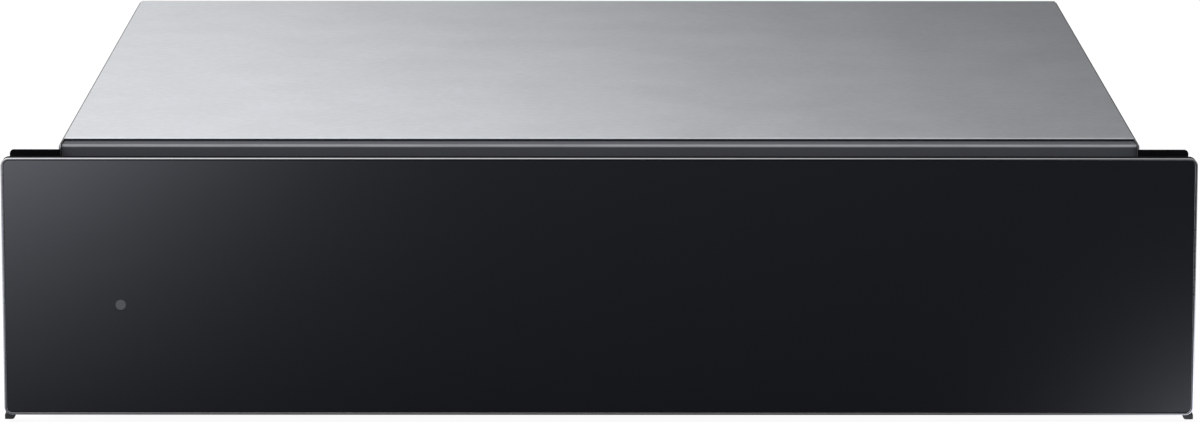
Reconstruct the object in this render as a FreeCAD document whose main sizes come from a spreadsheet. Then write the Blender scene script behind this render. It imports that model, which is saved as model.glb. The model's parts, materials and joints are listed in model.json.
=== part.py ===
"""Built-in warming drawer: push-to-open glass front, steel chassis, ball slides, warm-air unit.

Frame: +X to the right, +Y to the back, +Z up, millimetres. The origin is on the standing plane,
midway between the front and back extremes. The glass front faces -Y.
"""
import FreeCAD, Part
import math
import os
import re

import Sketcher
from FreeCAD import Placement, Rotation, Vector

DOC = FreeCAD.newDocument("WarmingDrawer")

# ---------------------------------------------------------------- driving dimensions
DIMENSIONS = {
    # front panel
    "front_plane": -275, "panel_wide": 595, "panel_tall": 130.5, "panel_base": 4.1,
    "corner_round": 4, "lip_wide": 1.1, "lip_deep": 1.4, "lip_round": 0.4,
    "tray_inset": 0.25, "tray_wall": 0.85, "tray_back": -269, "tray_gauge": 1.2,
    "glass_gap": 0.3, "glass_gauge": 4, "glass_bevel": 0.15,
    "tape_gauge": 0.5, "tape_inset": 5, "tape_wide": 16,
    "foot_wide": 5, "foot_drop": 2.5, "foot_deep": 10, "foot_rise": 10,
    # indicator
    "lens_across": -238.6, "lens_high": 60, "lens_bore": 5.6, "lens_wide": 5.4, "collar_wide": 9,
    # chassis
    "chassis_wide": 541, "chassis_front": -253, "chassis_back": 269, "chassis_tall": 138.4,
    "sheet": 1.0, "cover_gauge": 0.8, "cover_wide": 538.2, "cover_front": -236, "cover_fold": 16,
    "cover_nose": 0.6,
    "bend": 1.7, "shelf_back": -196, "flange_reach": 30, "foot_reach": 14, "wall_bend": 1.2,
    "crossbar_low": 118, "crossbar_deep": 24, "crossbar_tall": 9, "crossbar_back": 5.6,
    "shelf_step": 0.9, "shelf_riser": -232.4,
    "spacer_back": 275, "spacer_inner": 176, "spacer_outer": 232, "spacer_flange": 12,
    "spacer_low": 28, "spacer_high": 96,
    # air slots
    "slot_wide": 3, "slot_pitch": 8, "floor_slot_start": -88, "floor_slot_front": 205,
    "floor_slot_long": 42, "vent_start": -40, "vent_low": 50, "vent_tall": 38,
    "box_slot_start": -59.5, "box_slot_low": 30, "box_slot_tall": 24, "box_slot_pitch": 6.8,
    "box_slot_rise": 30, "plate_slot_start": -215, "plate_slot_low": 30, "plate_slot_tall": 60,
    # side flanges
    "wing_wide": 589.8, "wing_gauge": 1.5, "wing_top": 135, "wing_base": 6, "wing_leg": 38,
    "wing_lap": 0.8, "leg_drop": 3.5,
    "wing_round": 2, "wing_screw_inset": 22, "wing_screw_low": 20, "wing_screw_high": 110,
    "buffer_inset": 14, "buffer_low": 18, "buffer_high": 121, "buffer_base_wide": 12,
    "buffer_base_deep": 2.4, "buffer_nose_wide": 8.6, "buffer_nose_long": 10.2,
    "mount_across": 576, "mount_low": 30, "mount_pitch": 75, "mount_bore": 4.5,
    # screws
    "shank": 3.9, "shank_clear": 4.2, "shank_close": 4.0, "head_wide": 7.4, "head_deep": 2,
    "small_head": 7, "small_head_deep": 1.8, "panel_head_deep": 2.2,
    "panel_screw_start": -225, "panel_screw_pitch": 150, "panel_screw_rim": 6,
    # drawer box
    "box_wide": 513.6, "front_wall": -232, "box_back": 165, "box_base": 14, "box_side_top": 100,
    "box_fold": 5, "front_box_top": 112, "channel_lip": 12, "mat_gauge": 2, "mat_margin": 14,
    "mat_corner": 8,
    # slides
    "slide_front": -245, "slide_long": 450, "slide_high": 62, "race_front": -138, "race_long": 236,
    "ball_wide": 3.0, "ball_pitch": 40, "ball_start": 18,
    # warm-air unit
    "guard_front": 176, "guard_half_wide": 105, "guard_half_tall": 60, "guard_corner": 10,
    "air_hole": 5, "fan_plate_front": 200, "fan_plate_gauge": 1.2, "fan_plate_half": 240,
    "fan_high": 68, "impeller_wide": 86, "impeller_deep": 13, "impeller_hub": 16,
    "element_wide": 102, "element_tube": 6.5, "shaft_wide": 5, "shaft_bore": 5.1,
    "motor_wide": 60, "motor_front": 206, "motor_back": 236, "motor_boss": 20, "stator_half": 34,
    "bracket_gauge": 1.2, "bracket_wide": 64, "post_wide": 8, "post_ring": 27,
    "shaft_window": 20, "shaft_socket": 26, "element_tail": 26, "element_stud": 34,
    "stud_wide": 3, "bush_wide": 12, "bush_deep": 3, "blade_inner": 27, "blade_outer": 41.5,
    "blade_lean": 4, "blade_gauge": 1, "thermostat_across": 82, "thermostat_rise": 20,
    "thermostat_face": 12, "thermostat_case": 17, "thermostat_deep": 9, "thermostat_ear": 15,
    # mains inlet
    "gland_across": -150, "gland_high": 34, "gland_bore": 8.4, "gland_thread": 15.8,
    "gland_cap": 21, "gland_nut": 11, "terminal_front": 228, "terminal_back": 246,
    "gland_cap_deep": 5.6, "gland_nut_deep": 4, "gland_inside": 8, "gland_tip": 5,
    "terminal_half": 22, "terminal_tall": 21, "terminal_pitch": 13, "well_wide": 6,
    "well_deep": 9, "entry_wide": 4.4, "entry_high": 8,
    # push latch
    "latch_across": 226, "latch_high": 33, "latch_tip": 171.5, "latch_pin_wide": 8,
    "latch_front": 178, "latch_half": 13, "latch_wall": 2, "spring_wide": 6.6,
    "spring_core": 4.8, "striker_back": 168, "striker_half": 12, "dish_wide": 10,
    "dish_deep": 0.8,
    # controls
    "knob_across": -190, "knob_high": 80, "knob_wide": 30, "knob_back": -212,
    "knob_shaft": 6, "knob_socket": 5, "knob_round": 1.6, "notch_half": 1, "notch_inner": 6,
    "notch_outer": 13, "notch_deep": 0.8, "groove_inset": 3,
    "button_across": -126, "button_wide": 13.4, "fascia_gauge": 1.5,
    "fascia_left": -232, "fascia_right": -100, "fascia_below": 25, "fascia_above": 22,
    "case_left": -250, "case_right": -100, "case_low": 44, "case_high": 98, "case_skin": 2,
    "boss_wide": 7, "boss_inset": 4, "board_inset": 5, "board_gauge": 1.6, "lamp_wide": 5,
    "lamp_long": 2.4, "relay_left": -160, "relay_right": -142, "relay_low": 60, "relay_high": 86,
    "relay_tall": 10.4, "drum_across": -222, "drum_wide": 10, "drum_long": 13, "key_wide": 6,
    "key_long": 14, "switch_half": 9, "switch_deep": 14, "switch_neck": 12,
}

SHEET = DOC.addObject("Spreadsheet::Sheet", "Dims")
for row, (name, size) in enumerate(DIMENSIONS.items(), start=1):
    SHEET.set(f"A{row}", name)
    SHEET.set(f"B{row}", str(size))
    SHEET.setAlias(f"B{row}", name)
DOC.recompute()

VIEWS = {"front": "XZ_Plane", "top": "XY_Plane", "side": "YZ_Plane"}
TURNS = {
    "x": Rotation(Vector(0, 1, 0), 90), "-x": Rotation(Vector(0, 1, 0), -90),
    "y": Rotation(Vector(1, 0, 0), -90), "-y": Rotation(Vector(1, 0, 0), 90),
    "z": Rotation(), "-z": Rotation(Vector(1, 0, 0), 180),
}
NODES = []


# ---------------------------------------------------------------- expressions
def spelled(expression):
    """The expression with each dimension's name pointing at its cell."""
    def cell(match):
        word = match.group()
        return f"Dims.{word}" if word in DIMENSIONS else word
    return re.sub(r"[A-Za-z_][A-Za-z_0-9]*", cell, str(expression))


def number(expression):
    """What the expression comes to now."""
    return float(SHEET.evalExpression(spelled(expression)))


def bind(thing, prop, expression):
    thing.setExpression(prop, spelled(expression))


def mirrored(side, inner, outer):
    """Low and high X of a span on one side of the centre plane."""
    return (inner, outer) if side > 0 else (f"-({outer})", f"-({inner})")


# ---------------------------------------------------------------- primitives
def place(thing, at, turn="z"):
    thing.Placement = Placement(Vector(), TURNS[turn])
    for axis, expression in zip("xyz", at):
        bind(thing, f".Placement.Base.{axis}", expression)


def block(name, low_x, high_x, low_y, high_y, low_z, high_z):
    thing = DOC.addObject("Part::Box", name)
    bind(thing, "Length", f"({high_x}) - ({low_x})")
    bind(thing, "Width", f"({high_y}) - ({low_y})")
    bind(thing, "Height", f"({high_z}) - ({low_z})")
    place(thing, (low_x, low_y, low_z))
    return thing


def rod(name, turn, at, across, length):
    """Cylinder of the given diameter that starts at a point and runs along an axis."""
    thing = DOC.addObject("Part::Cylinder", name)
    bind(thing, "Radius", f"({across}) / 2")
    bind(thing, "Height", length)
    place(thing, at, turn)
    return thing


def joined(name, things):
    whole = DOC.addObject("Part::MultiFuse", name)
    whole.Shapes = things
    whole.Refine = True
    return whole


def carved(name, base, tools):
    """The base with every tool taken out of it."""
    whole = DOC.addObject("Part::Cut", name)
    whole.Base = base
    whole.Tool = tools[0] if len(tools) == 1 else joined(f"{name}_tools", tools)
    return whole


def grouped(name, things):
    """Separate solids that share one node."""
    whole = DOC.addObject("Part::Compound", name)
    whole.Links = things
    return whole


def node(thing, name):
    thing.Label = name
    NODES.append(thing)
    return thing


# ---------------------------------------------------------------- bodies
def new_body(name):
    body = DOC.addObject("PartDesign::Body", name)
    return node(body, name)


def sketch_on(body, view, level):
    """Empty sketch across one axis at the given level, drawn as that view shows it."""
    plane = next(f for f in body.Origin.OriginFeatures if f.Role == VIEWS[view])
    sketch = body.newObject("Sketcher::SketchObject", f"{body.Name}_sketch")
    sketch.AttachmentSupport = [(plane, "")]
    sketch.MapMode = "FlatFace"
    bind(sketch, ".AttachmentOffset.Base.z", f"-({level})" if view == "front" else level)
    return sketch


def pin_point(sketch, geometry, point, across, up):
    """Hold one point of the sketch at bound distances from its origin."""
    for kind, expression, axis in (("DistanceX", across, -2), ("DistanceY", up, -1)):
        distance = number(expression)
        if abs(distance) < 1e-9:
            sketch.addConstraint(Sketcher.Constraint("PointOnObject", geometry, point, axis))
            continue
        index = sketch.addConstraint(
            Sketcher.Constraint(kind, -1, 1, geometry, point, distance))
        bind(sketch, f"Constraints[{index}]", expression)


def draw_outline(sketch, points):
    """Closed outline of straight edges through the given points."""
    first = sketch.GeometryCount
    spots = [Vector(number(across), number(up), 0) for across, up in points]
    for here, there in zip(spots, spots[1:] + spots[:1]):
        sketch.addGeometry(Part.LineSegment(here, there), False)
    count = len(points)
    for index in range(count):
        follower = first + (index + 1) % count
        sketch.addConstraint(
            Sketcher.Constraint("Coincident", first + index, 2, follower, 1))
        pin_point(sketch, first + index, 1, *points[index])


def draw_circle(sketch, across, up, diameter):
    centre = Vector(number(across), number(up), 0)
    circle = sketch.addGeometry(Part.Circle(centre, Vector(0, 0, 1), number(diameter) / 2), False)
    pin_point(sketch, circle, 3, across, up)
    index = sketch.addConstraint(Sketcher.Constraint("Diameter", circle, number(diameter)))
    bind(sketch, f"Constraints[{index}]", diameter)


def draw(sketch, outlines, circles):
    for outline in outlines:
        draw_outline(sketch, outline)
    for circle in circles:
        draw_circle(sketch, *circle)


def extrude(body, view, start, end, outlines=(), circles=()):
    """Material between two levels of the view's axis."""
    sketch = sketch_on(body, view, end if view == "front" else start)
    draw(sketch, outlines, circles)
    pad = body.newObject("PartDesign::Pad", f"{body.Name}_pad")
    pad.Profile = sketch
    bind(pad, "Length", f"({end}) - ({start})")
    body.Tip = pad
    DOC.recompute()
    return pad


def pocket(body, view, start, end, outlines=(), circles=()):
    """Material taken away between two levels of the view's axis."""
    before = body.Shape.Volume
    sketch = sketch_on(body, view, start if view == "front" else end)
    draw(sketch, outlines, circles)
    cut = body.newObject("PartDesign::Pocket", f"{body.Name}_pocket")
    cut.Profile = sketch
    bind(cut, "Length", f"({end}) - ({start})")
    body.Tip = cut
    DOC.recompute()
    assert body.Shape.Volume < before - 1e-3, f"{body.Label}: a pocket cut nothing"
    return cut


def repeated(body, feature, across, count, pitch, up_count=1, up_pitch="0"):
    """A feature repeated along its sketch's two axes."""
    before = body.Shape.Volume
    sketch = feature.Profile[0]
    pattern = body.newObject("PartDesign::LinearPattern", f"{body.Name}_pattern")
    pattern.Originals = [feature]
    pattern.Direction = (sketch, [across])
    bind(pattern, "Length", f"({pitch}) * {count - 1}")
    pattern.Occurrences = count
    if up_count > 1:
        other = "V_Axis" if across == "H_Axis" else "H_Axis"
        pattern.Direction2 = (sketch, [other])
        bind(pattern, "Length2", f"({up_pitch}) * {up_count - 1}")
        pattern.Occurrences2 = up_count
    body.Tip = pattern
    DOC.recompute()
    assert abs(body.Shape.Volume - before) > 1e-3, f"{body.Label}: a pattern changed nothing"
    return pattern


def around(body, feature, count):
    """A feature repeated round its sketch's normal."""
    pattern = body.newObject("PartDesign::PolarPattern", f"{body.Name}_ring")
    pattern.Originals = [feature]
    pattern.Axis = (feature.Profile[0], ["N_Axis"])
    pattern.Angle = 360
    pattern.Occurrences = count
    body.Tip = pattern
    DOC.recompute()
    return pattern


def runs_along(edge, axis):
    """Whether a straight edge lies along the axis."""
    if not isinstance(edge.Curve, Part.Line):
        return False
    return abs(abs(edge.Curve.Direction.dot(axis)) - 1) < 1e-6


def soften(body, radius, chosen):
    """Round the edges that the test picks."""
    names = [f"Edge{i}" for i, edge in enumerate(body.Shape.Edges, 1) if chosen(edge)]
    assert names, f"{body.Label}: no edge to round"
    base = body.Tip
    fillet = body.newObject("PartDesign::Fillet", f"{body.Name}_round")
    fillet.Base = (base, names)
    bind(fillet, "Radius", radius)
    body.Tip = fillet
    DOC.recompute()
    assert fillet.isValid(), f"{body.Label}: a rounding failed"
    return fillet


def bevel(body, size, chosen):
    """Chamfer the edges that the test picks."""
    names = [f"Edge{i}" for i, edge in enumerate(body.Shape.Edges, 1) if chosen(edge)]
    assert names, f"{body.Label}: no edge to bevel"
    base = body.Tip
    chamfer = body.newObject("PartDesign::Chamfer", f"{body.Name}_bevel")
    chamfer.Base = (base, names)
    bind(chamfer, "Size", size)
    body.Tip = chamfer
    DOC.recompute()
    assert chamfer.isValid(), f"{body.Label}: a bevel failed"
    return chamfer


def rectangle(low_x, high_x, low_z, high_z):
    return [(low_x, low_z), (high_x, low_z), (high_x, high_z), (low_x, high_z)]


def slot_row(body, view, start, end, first, size, count, pitch, rows=1, row_pitch="0"):
    """A field of rectangular openings through a sheet."""
    (across, up), (wide, tall) = first, size
    opening = rectangle(across, f"({across}) + {wide}", up, f"({up}) + {tall}")
    cut = pocket(body, view, start, end, [opening])
    return repeated(body, cut, "H_Axis", count, pitch, rows, row_pitch)


AXIS_X, AXIS_Y, AXIS_Z = Vector(1, 0, 0), Vector(0, 1, 0), Vector(0, 0, 1)
SIDES = {"left": -1, "right": 1}


# ---------------------------------------------------------------- chassis
INNER_WALL = "(chassis_wide/2 - sheet)"
SHELF_TOP = "(chassis_tall - cover_gauge)"
WALL_FRONT = "(chassis_front + wing_gauge + 0.1)"
# distances of the screws from the front end of the slides
CHASSIS_SCREW_STEPS = (60, 210, 390)
DRAWER_SCREW_STEPS = (40, 215, 395)


def bottom_plate():
    body = new_body("bottom_plate")
    reach = f"{INNER_WALL} - 0.2"
    outline = rectangle(f"-({reach})", reach, "chassis_front + sheet", "chassis_back - sheet - 0.2")
    extrude(body, "top", "0", "sheet", [outline])
    slot_row(body, "top", "0", "sheet", ("floor_slot_start", "floor_slot_front"),
             ("slot_wide", "floor_slot_long"), 23, "slot_pitch")


def side_wall(name, side):
    """Folded sheet: upright web, a shelf under the cover and a foot under the floor sheet."""
    body = new_body(name)
    top, gauge = SHELF_TOP, "sheet"
    outer, inner = "chassis_wide/2", INNER_WALL
    shelf = f"{inner} - flange_reach + sheet"
    foot = f"{inner} - foot_reach"
    section = [(outer, "0"), (outer, top), (shelf, top), (shelf, f"{top} - {gauge}"),
               (inner, f"{top} - {gauge}"), (inner, f"2*{gauge}"), (foot, f"2*{gauge}"),
               (foot, gauge), (inner, gauge), (inner, "0")]
    section = [(f"{side}*({x})", z) for x, z in section]
    extrude(body, "front", WALL_FRONT, "chassis_back", [section])
    notch = [(f"{shelf} - 1", "chassis_front - 1"), (inner, "chassis_front - 1"),
             (inner, "chassis_front + bend"), ("cover_wide/2", "cover_front"),
             ("cover_wide/2", "shelf_back + 1"), (f"{shelf} - 1", "shelf_back + 1")]
    pocket(body, "top", f"{top} - {gauge}", top, [[(f"{side}*({x})", y) for x, y in notch]])
    edge_x = side * number(outer)
    soften(body, "wall_bend", lambda edge: runs_along(edge, AXIS_Y)
           and abs(edge.CenterOfMass.x - edge_x) < 1e-6
           and edge.CenterOfMass.z > number(top) - 0.1)
    web = mirrored(side, f"{inner} - 0.5", f"{outer} + 0.5")
    for along, high in slide_screw_spots() + wing_screw_spots():
        pocket(body, "side", *web, circles=[(along, high, "shank_clear")])


def slide_screw_spots():
    return [(f"slide_front + {step}", "slide_high") for step in CHASSIS_SCREW_STEPS]


def wing_screw_spots():
    return [("chassis_front + wing_screw_inset", height)
            for height in ("wing_screw_low", "wing_screw_high")]


def rear_wall():
    body = new_body("rear_wall")
    reach = f"{INNER_WALL} - 0.2"
    outline = rectangle(f"-({reach})", reach, "2*sheet", f"{SHELF_TOP} - sheet")
    extrude(body, "front", "chassis_back - sheet", "chassis_back", [outline])
    pocket(body, "front", "chassis_back - sheet", "chassis_back",
           circles=[("gland_across", "gland_high", "gland_thread + 0.1")])
    slot_row(body, "front", "chassis_back - sheet", "chassis_back",
             ("vent_start", "vent_low"), ("slot_wide", "vent_tall"), 21, "slot_pitch")


def top_cover():
    """Flat cover with a narrow fold down at the back."""
    body = new_body("top_cover")
    reach, back = "cover_wide/2", "chassis_back"
    top, fold_low = "chassis_tall", "chassis_tall - cover_fold"
    section = [("cover_front", SHELF_TOP), (back, SHELF_TOP), (back, fold_low),
               (f"{back} + cover_gauge", fold_low), (f"{back} + cover_gauge", top),
               ("cover_front", top)]
    extrude(body, "side", f"-({reach})", reach, [section])
    rear, high = number(f"{back} + cover_gauge"), number(top)
    soften(body, "cover_gauge + 0.2", lambda edge: runs_along(edge, AXIS_X)
           and abs(edge.CenterOfMass.y - rear) < 1e-6 and abs(edge.CenterOfMass.z - high) < 1e-6)
    nose = number("cover_front")
    soften(body, "cover_nose", lambda edge: runs_along(edge, AXIS_X)
           and abs(edge.CenterOfMass.y - nose) < 1e-6 and abs(edge.CenterOfMass.z - high) < 1e-6)


def front_crossbar_top():
    """Folded strip between the cover and the glass front, mitred to the walls at its ends.

    Its shelf steps up behind the edge of the cover, which leaves a dark joint below the cover.
    """
    body = new_body("front_crossbar_top")
    front, top, gauge = "(chassis_front + crossbar_back)", SHELF_TOP, "sheet"
    low_top, riser = f"({top} - shelf_step)", "shelf_riser"
    section = [(front, "crossbar_low"), (front, low_top), (riser, low_top), (riser, top),
               ("shelf_back", top), ("shelf_back", f"{top} - {gauge}"),
               (f"{riser} + {gauge}", f"{top} - {gauge}"),
               (f"{riser} + {gauge}", f"{low_top} - {gauge}"),
               (f"{front} + {gauge}", f"{low_top} - {gauge}"),
               (f"{front} + {gauge}", "crossbar_low")]
    reach, narrow = f"({INNER_WALL} - 0.1)", "(cover_wide/2 - 0.2)"
    extrude(body, "side", f"-{reach}", reach, [section])
    for side in SIDES.values():
        mitre = [(reach, f"{front} + bend"), (narrow, "cover_front"), (narrow, "shelf_back + 1"),
                 (f"{reach} + 1", "shelf_back + 1"), (f"{reach} + 1", f"{front} + bend")]
        pocket(body, "top", f"{low_top} - {gauge}", top, [[(f"{side}*({x})", y) for x, y in mitre]])
    outer_y, outer_z = number(front), number(low_top)
    soften(body, "bend", lambda edge: runs_along(edge, AXIS_X)
           and abs(edge.CenterOfMass.y - outer_y) < 1e-6
           and abs(edge.CenterOfMass.z - outer_z) < 1e-6)
    soften(body, "bend - sheet", lambda edge: runs_along(edge, AXIS_X)
           and abs(edge.CenterOfMass.y - outer_y - number(gauge)) < 1e-6
           and abs(edge.CenterOfMass.z - outer_z + number(gauge)) < 1e-6)


def front_crossbar_bottom():
    body = new_body("front_crossbar_bottom")
    front, gauge = "chassis_front", "sheet"
    section = [(front, "0"), (front, "crossbar_tall"), (f"{front} + {gauge}", "crossbar_tall"),
               (f"{front} + {gauge}", f"2*{gauge}"), (f"{front} + crossbar_deep", f"2*{gauge}"),
               (f"{front} + crossbar_deep", gauge), (f"{front} + {gauge}", gauge),
               (f"{front} + {gauge}", "0")]
    reach = f"{INNER_WALL} - foot_reach - 0.2"
    extrude(body, "side", f"-({reach})", reach, [section])


def side_flange(name, side):
    """Angle beside the chassis: it fills the joint beside the cabinet and takes its screws."""
    body = new_body(name)
    front, gauge = "chassis_front", "wing_gauge"
    back = f"{front} + {gauge}"
    inner, outer, lap = "chassis_wide/2", "wing_wide/2", "chassis_wide/2 - wing_lap"
    leg_back = f"{front} + wing_leg"
    section = [(lap, front), (outer, front), (outer, back), (f"{inner} + {gauge}", back),
               (f"{inner} + {gauge}", leg_back), (inner, leg_back), (inner, back), (lap, back)]
    extrude(body, "top", "wing_base", "wing_top", [[(f"{side}*({x})", y) for x, y in section]])
    drop = [(f"{inner} - 1", back), (f"{inner} + {gauge}", back),
            (f"{inner} + {gauge}", f"{leg_back} + 1"), (f"{inner} - 1", f"{leg_back} + 1")]
    pocket(body, "top", "wing_top - leg_drop", "wing_top", [[(f"{side}*({x})", y) for x, y in drop]])
    edge_x = side * number(outer)
    soften(body, "wing_round", lambda edge: runs_along(edge, AXIS_Y)
           and abs(edge.CenterOfMass.x - edge_x) < 1e-6)
    across = f"{side}*mount_across/2"
    spots = [(across, high, "mount_bore") for high in ("mount_low", "mount_low + mount_pitch")]
    pocket(body, "front", front, back, circles=spots)
    leg = mirrored(side, inner, f"{inner} + {gauge}")
    for along, high in wing_screw_spots():
        pocket(body, "side", *leg, circles=[(along, high, "shank_clear")])


def screw(name, turn, seat, head_wide, head_deep, shank_wide, shank_long):
    """Pan-head screw whose head stands on the seat point; the shank runs along the turn."""
    back_turn = turn[1:] if turn.startswith("-") else f"-{turn}"
    head = rod(f"{name}_head", back_turn, seat, head_wide, head_deep)
    recess_seat = list(seat)
    axis, sign = "xyz".index(turn[-1]), -1 if turn.startswith("-") else 1
    recess_seat[axis] = f"({seat[axis]}) - ({sign})*({head_deep})*0.45"
    recess = rod(f"{name}_recess", back_turn, recess_seat, f"({head_wide})*0.42", head_deep)
    shank = rod(f"{name}_shank", turn, seat, shank_wide, shank_long)
    return joined(name, [carved(f"{name}_drilled", head, [recess]), shank])


def chassis_screws():
    screws = []
    for label, side in SIDES.items():
        inward = "-x" if side > 0 else "x"
        for index, (along, high) in enumerate(slide_screw_spots()):
            seat = (f"{side}*chassis_wide/2", along, high)
            screws.append(screw(f"slide_screw_{label}_{index}", inward, seat,
                                "head_wide", "head_deep", "shank", "2*sheet + 0.1"))
        for index, (along, high) in enumerate(wing_screw_spots()):
            seat = (f"{side}*(chassis_wide/2 + wing_gauge)", along, high)
            screws.append(screw(f"wing_screw_{label}_{index}", inward, seat,
                                "head_wide", "head_deep", "shank", "wing_gauge + sheet + 2"))
    node(grouped("chassis_screws", screws), "chassis_screws")


def front_buffers():
    """Soft stops between the flanges and the glass front."""
    stops = []
    for label, side in SIDES.items():
        for index, high in enumerate(("buffer_low", "buffer_high")):
            seat = (f"{side}*(wing_wide/2 - buffer_inset)", "chassis_front", high)
            base = rod(f"buffer_base_{label}_{index}", "-y", seat,
                       "buffer_base_wide", "buffer_base_deep")
            nose_seat = (seat[0], "chassis_front - buffer_base_deep", high)
            nose = rod(f"buffer_nose_{label}_{index}", "-y", nose_seat,
                       "buffer_nose_wide", "buffer_nose_long")
            stops.append(joined(f"buffer_{label}_{index}", [base, nose]))
    node(grouped("front_buffers", stops), "front_buffers")


# ---------------------------------------------------------------- ball slides
def from_wall(side, inward):
    """X of a point that lies so far inside the chassis wall."""
    return f"{side}*({INNER_WALL} - {inward})"


def channel(name, side, web, flange_x, flange_z, lip_x=None, lip_z=None, start="slide_front",
            end="slide_front + slide_long"):
    """Slide member open towards the drawer or the wall, with optional turned-in lips."""
    body = new_body(name)
    (web_far, web_near), (low_z, high_z) = web, flange_z
    upper = [(web_far, 0), (web_far, high_z), (flange_x, high_z)]
    if lip_x is not None:
        upper += [(flange_x, lip_z), (lip_x, lip_z), (lip_x, low_z)]
    else:
        upper += [(flange_x, low_z)]
    upper += [(web_near, low_z), (web_near, 0)]
    upper = upper[1:-1]
    outline = upper + [(x, -z) for x, z in reversed(upper)]
    points = [(from_wall(side, x), f"slide_high + ({z})") for x, z in outline]
    extrude(body, "front", start, end, [points])
    return body


# Each member below is given by distances from the chassis wall and from the slide's middle
def slide_outer(label, side):
    body = channel(f"slide_outer_{label}", side, (0, 1.2), 10.5, (21.3, 22.5), 9.3, 19.6)
    web = mirrored(side, f"{INNER_WALL} - 1.2", INNER_WALL)
    for along, high in slide_screw_spots():
        pocket(body, "side", *web, circles=[(along, high, "shank_close")])


def slide_middle(label, side):
    channel(f"slide_middle_{label}", side, (3.3, 4.5), 11.3, (16.8, 18.0), 10.1, 15.9)


def slide_inner(label, side):
    body = channel(f"slide_inner_{label}", side, (12.7, 11.5), 6.2, (12.3, 13.5))
    web = mirrored(side, f"{INNER_WALL} - 12.7", f"{INNER_WALL} - 11.5")
    for along in drawer_screw_spots():
        pocket(body, "side", *web, circles=[(along, "slide_high", "shank_close")])


def drawer_screw_spots():
    return [f"slide_front + {step}" for step in DRAWER_SCREW_STEPS]


def ball_cage(name, side, web, arm_x, ball_x, ball_z):
    """Thin strip with two arms that keep the balls in line between two slide members."""
    start, end = "race_front", "race_front + race_long"
    low_x, high_x = mirrored(side, f"{INNER_WALL} - {arm_x}", f"{INNER_WALL} - {web[0]}")
    web_low, web_high = mirrored(side, f"{INNER_WALL} - {web[1]}", f"{INNER_WALL} - {web[0]}")
    arm_half = 0.25
    plates = [block(f"{name}_web", web_low, web_high, start, end,
                    f"slide_high - {ball_z}", f"slide_high + {ball_z}")]
    for tag, sign in (("low", -1), ("high", 1)):
        plates.append(block(f"{name}_arm_{tag}", low_x, high_x, start, end,
                            f"slide_high + {sign * ball_z} - {arm_half}",
                            f"slide_high + {sign * ball_z} + {arm_half}"))
    balls, seats = [], []
    for tag, sign in (("low", -1), ("high", 1)):
        for index in range(6):
            spot = (from_wall(side, ball_x), f"race_front + ball_start + {index}*ball_pitch",
                    f"slide_high + {sign * ball_z}")
            ball = DOC.addObject("Part::Sphere", f"{name}_ball_{tag}_{index}")
            bind(ball, "Radius", "ball_wide/2")
            place(ball, spot)
            balls.append(ball)
            seat_low = (spot[0], spot[1], f"{spot[2]} - 1")
            seats.append(rod(f"{name}_seat_{tag}_{index}", "z", seat_low, "ball_wide + 0.3", "2"))
    strip = carved(f"{name}_strip", joined(f"{name}_plates", plates), seats)
    node(grouped(name, [strip] + balls), name)


def ball_slides():
    for label, side in SIDES.items():
        slide_outer(label, side)
        slide_middle(label, side)
        slide_inner(label, side)
        ball_cage(f"outer_cage_{label}", side, (1.9, 2.6), 8.0, 5.3, 19.65)
        ball_cage(f"inner_cage_{label}", side, (4.9, 5.6), 9.7, 8.1, 15.15)


def drawer_screws():
    screws = []
    for label, side in SIDES.items():
        outward = "x" if side > 0 else "-x"
        for index, along in enumerate(drawer_screw_spots()):
            seat = (f"{side}*(box_wide/2 - sheet)", along, "slide_high")
            screws.append(screw(f"drawer_screw_{label}_{index}", outward, seat,
                                "small_head", "small_head_deep", "shank", "2*sheet + 0.1"))
    node(grouped("drawer_screws", screws), "drawer_screws")


# ---------------------------------------------------------------- drawer box
def drawer_floor():
    body = new_body("drawer_floor")
    reach = "box_wide/2 - sheet - 0.1"
    outline = rectangle(f"-({reach})", reach, "front_wall", "box_back - sheet")
    extrude(body, "top", "box_base", "box_base + sheet", [outline])


def drawer_side(name, side):
    """Side sheet with a safe edge folded inwards along its top."""
    body = new_body(name)
    outer, inner = "box_wide/2", "box_wide/2 - sheet"
    section = [(outer, "box_base"), (outer, "box_side_top"), (f"{inner} - box_fold", "box_side_top"),
               (f"{inner} - box_fold", "box_side_top - sheet"), (inner, "box_side_top - sheet"),
               (inner, "box_base")]
    extrude(body, "front", "front_wall", "box_back", [[(f"{side}*({x})", z) for x, z in section]])
    edge_x, edge_z = side * number(outer), number("box_side_top")
    soften(body, "0.8", lambda edge: runs_along(edge, AXIS_Y)
           and abs(edge.CenterOfMass.x - edge_x) < 1e-6
           and abs(edge.CenterOfMass.z - edge_z) < 1e-6)
    web = mirrored(side, inner, outer)
    for along in drawer_screw_spots():
        pocket(body, "side", *web, circles=[(along, "slide_high", "shank_close")])


def drawer_rear_wall():
    """Back sheet with a field of air slots in front of the fan."""
    body = new_body("drawer_rear_wall")
    reach = "box_wide/2 - sheet - 0.1"
    outline = rectangle(f"-({reach})", reach, "box_base", "box_side_top - 2*sheet")
    extrude(body, "front", "box_back - sheet", "box_back", [outline])
    slot_row(body, "front", "box_back - sheet", "box_back",
             ("box_slot_start", "box_slot_low"), ("slot_wide", "box_slot_tall"),
             18, "box_slot_pitch", 2, "box_slot_rise")


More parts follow.
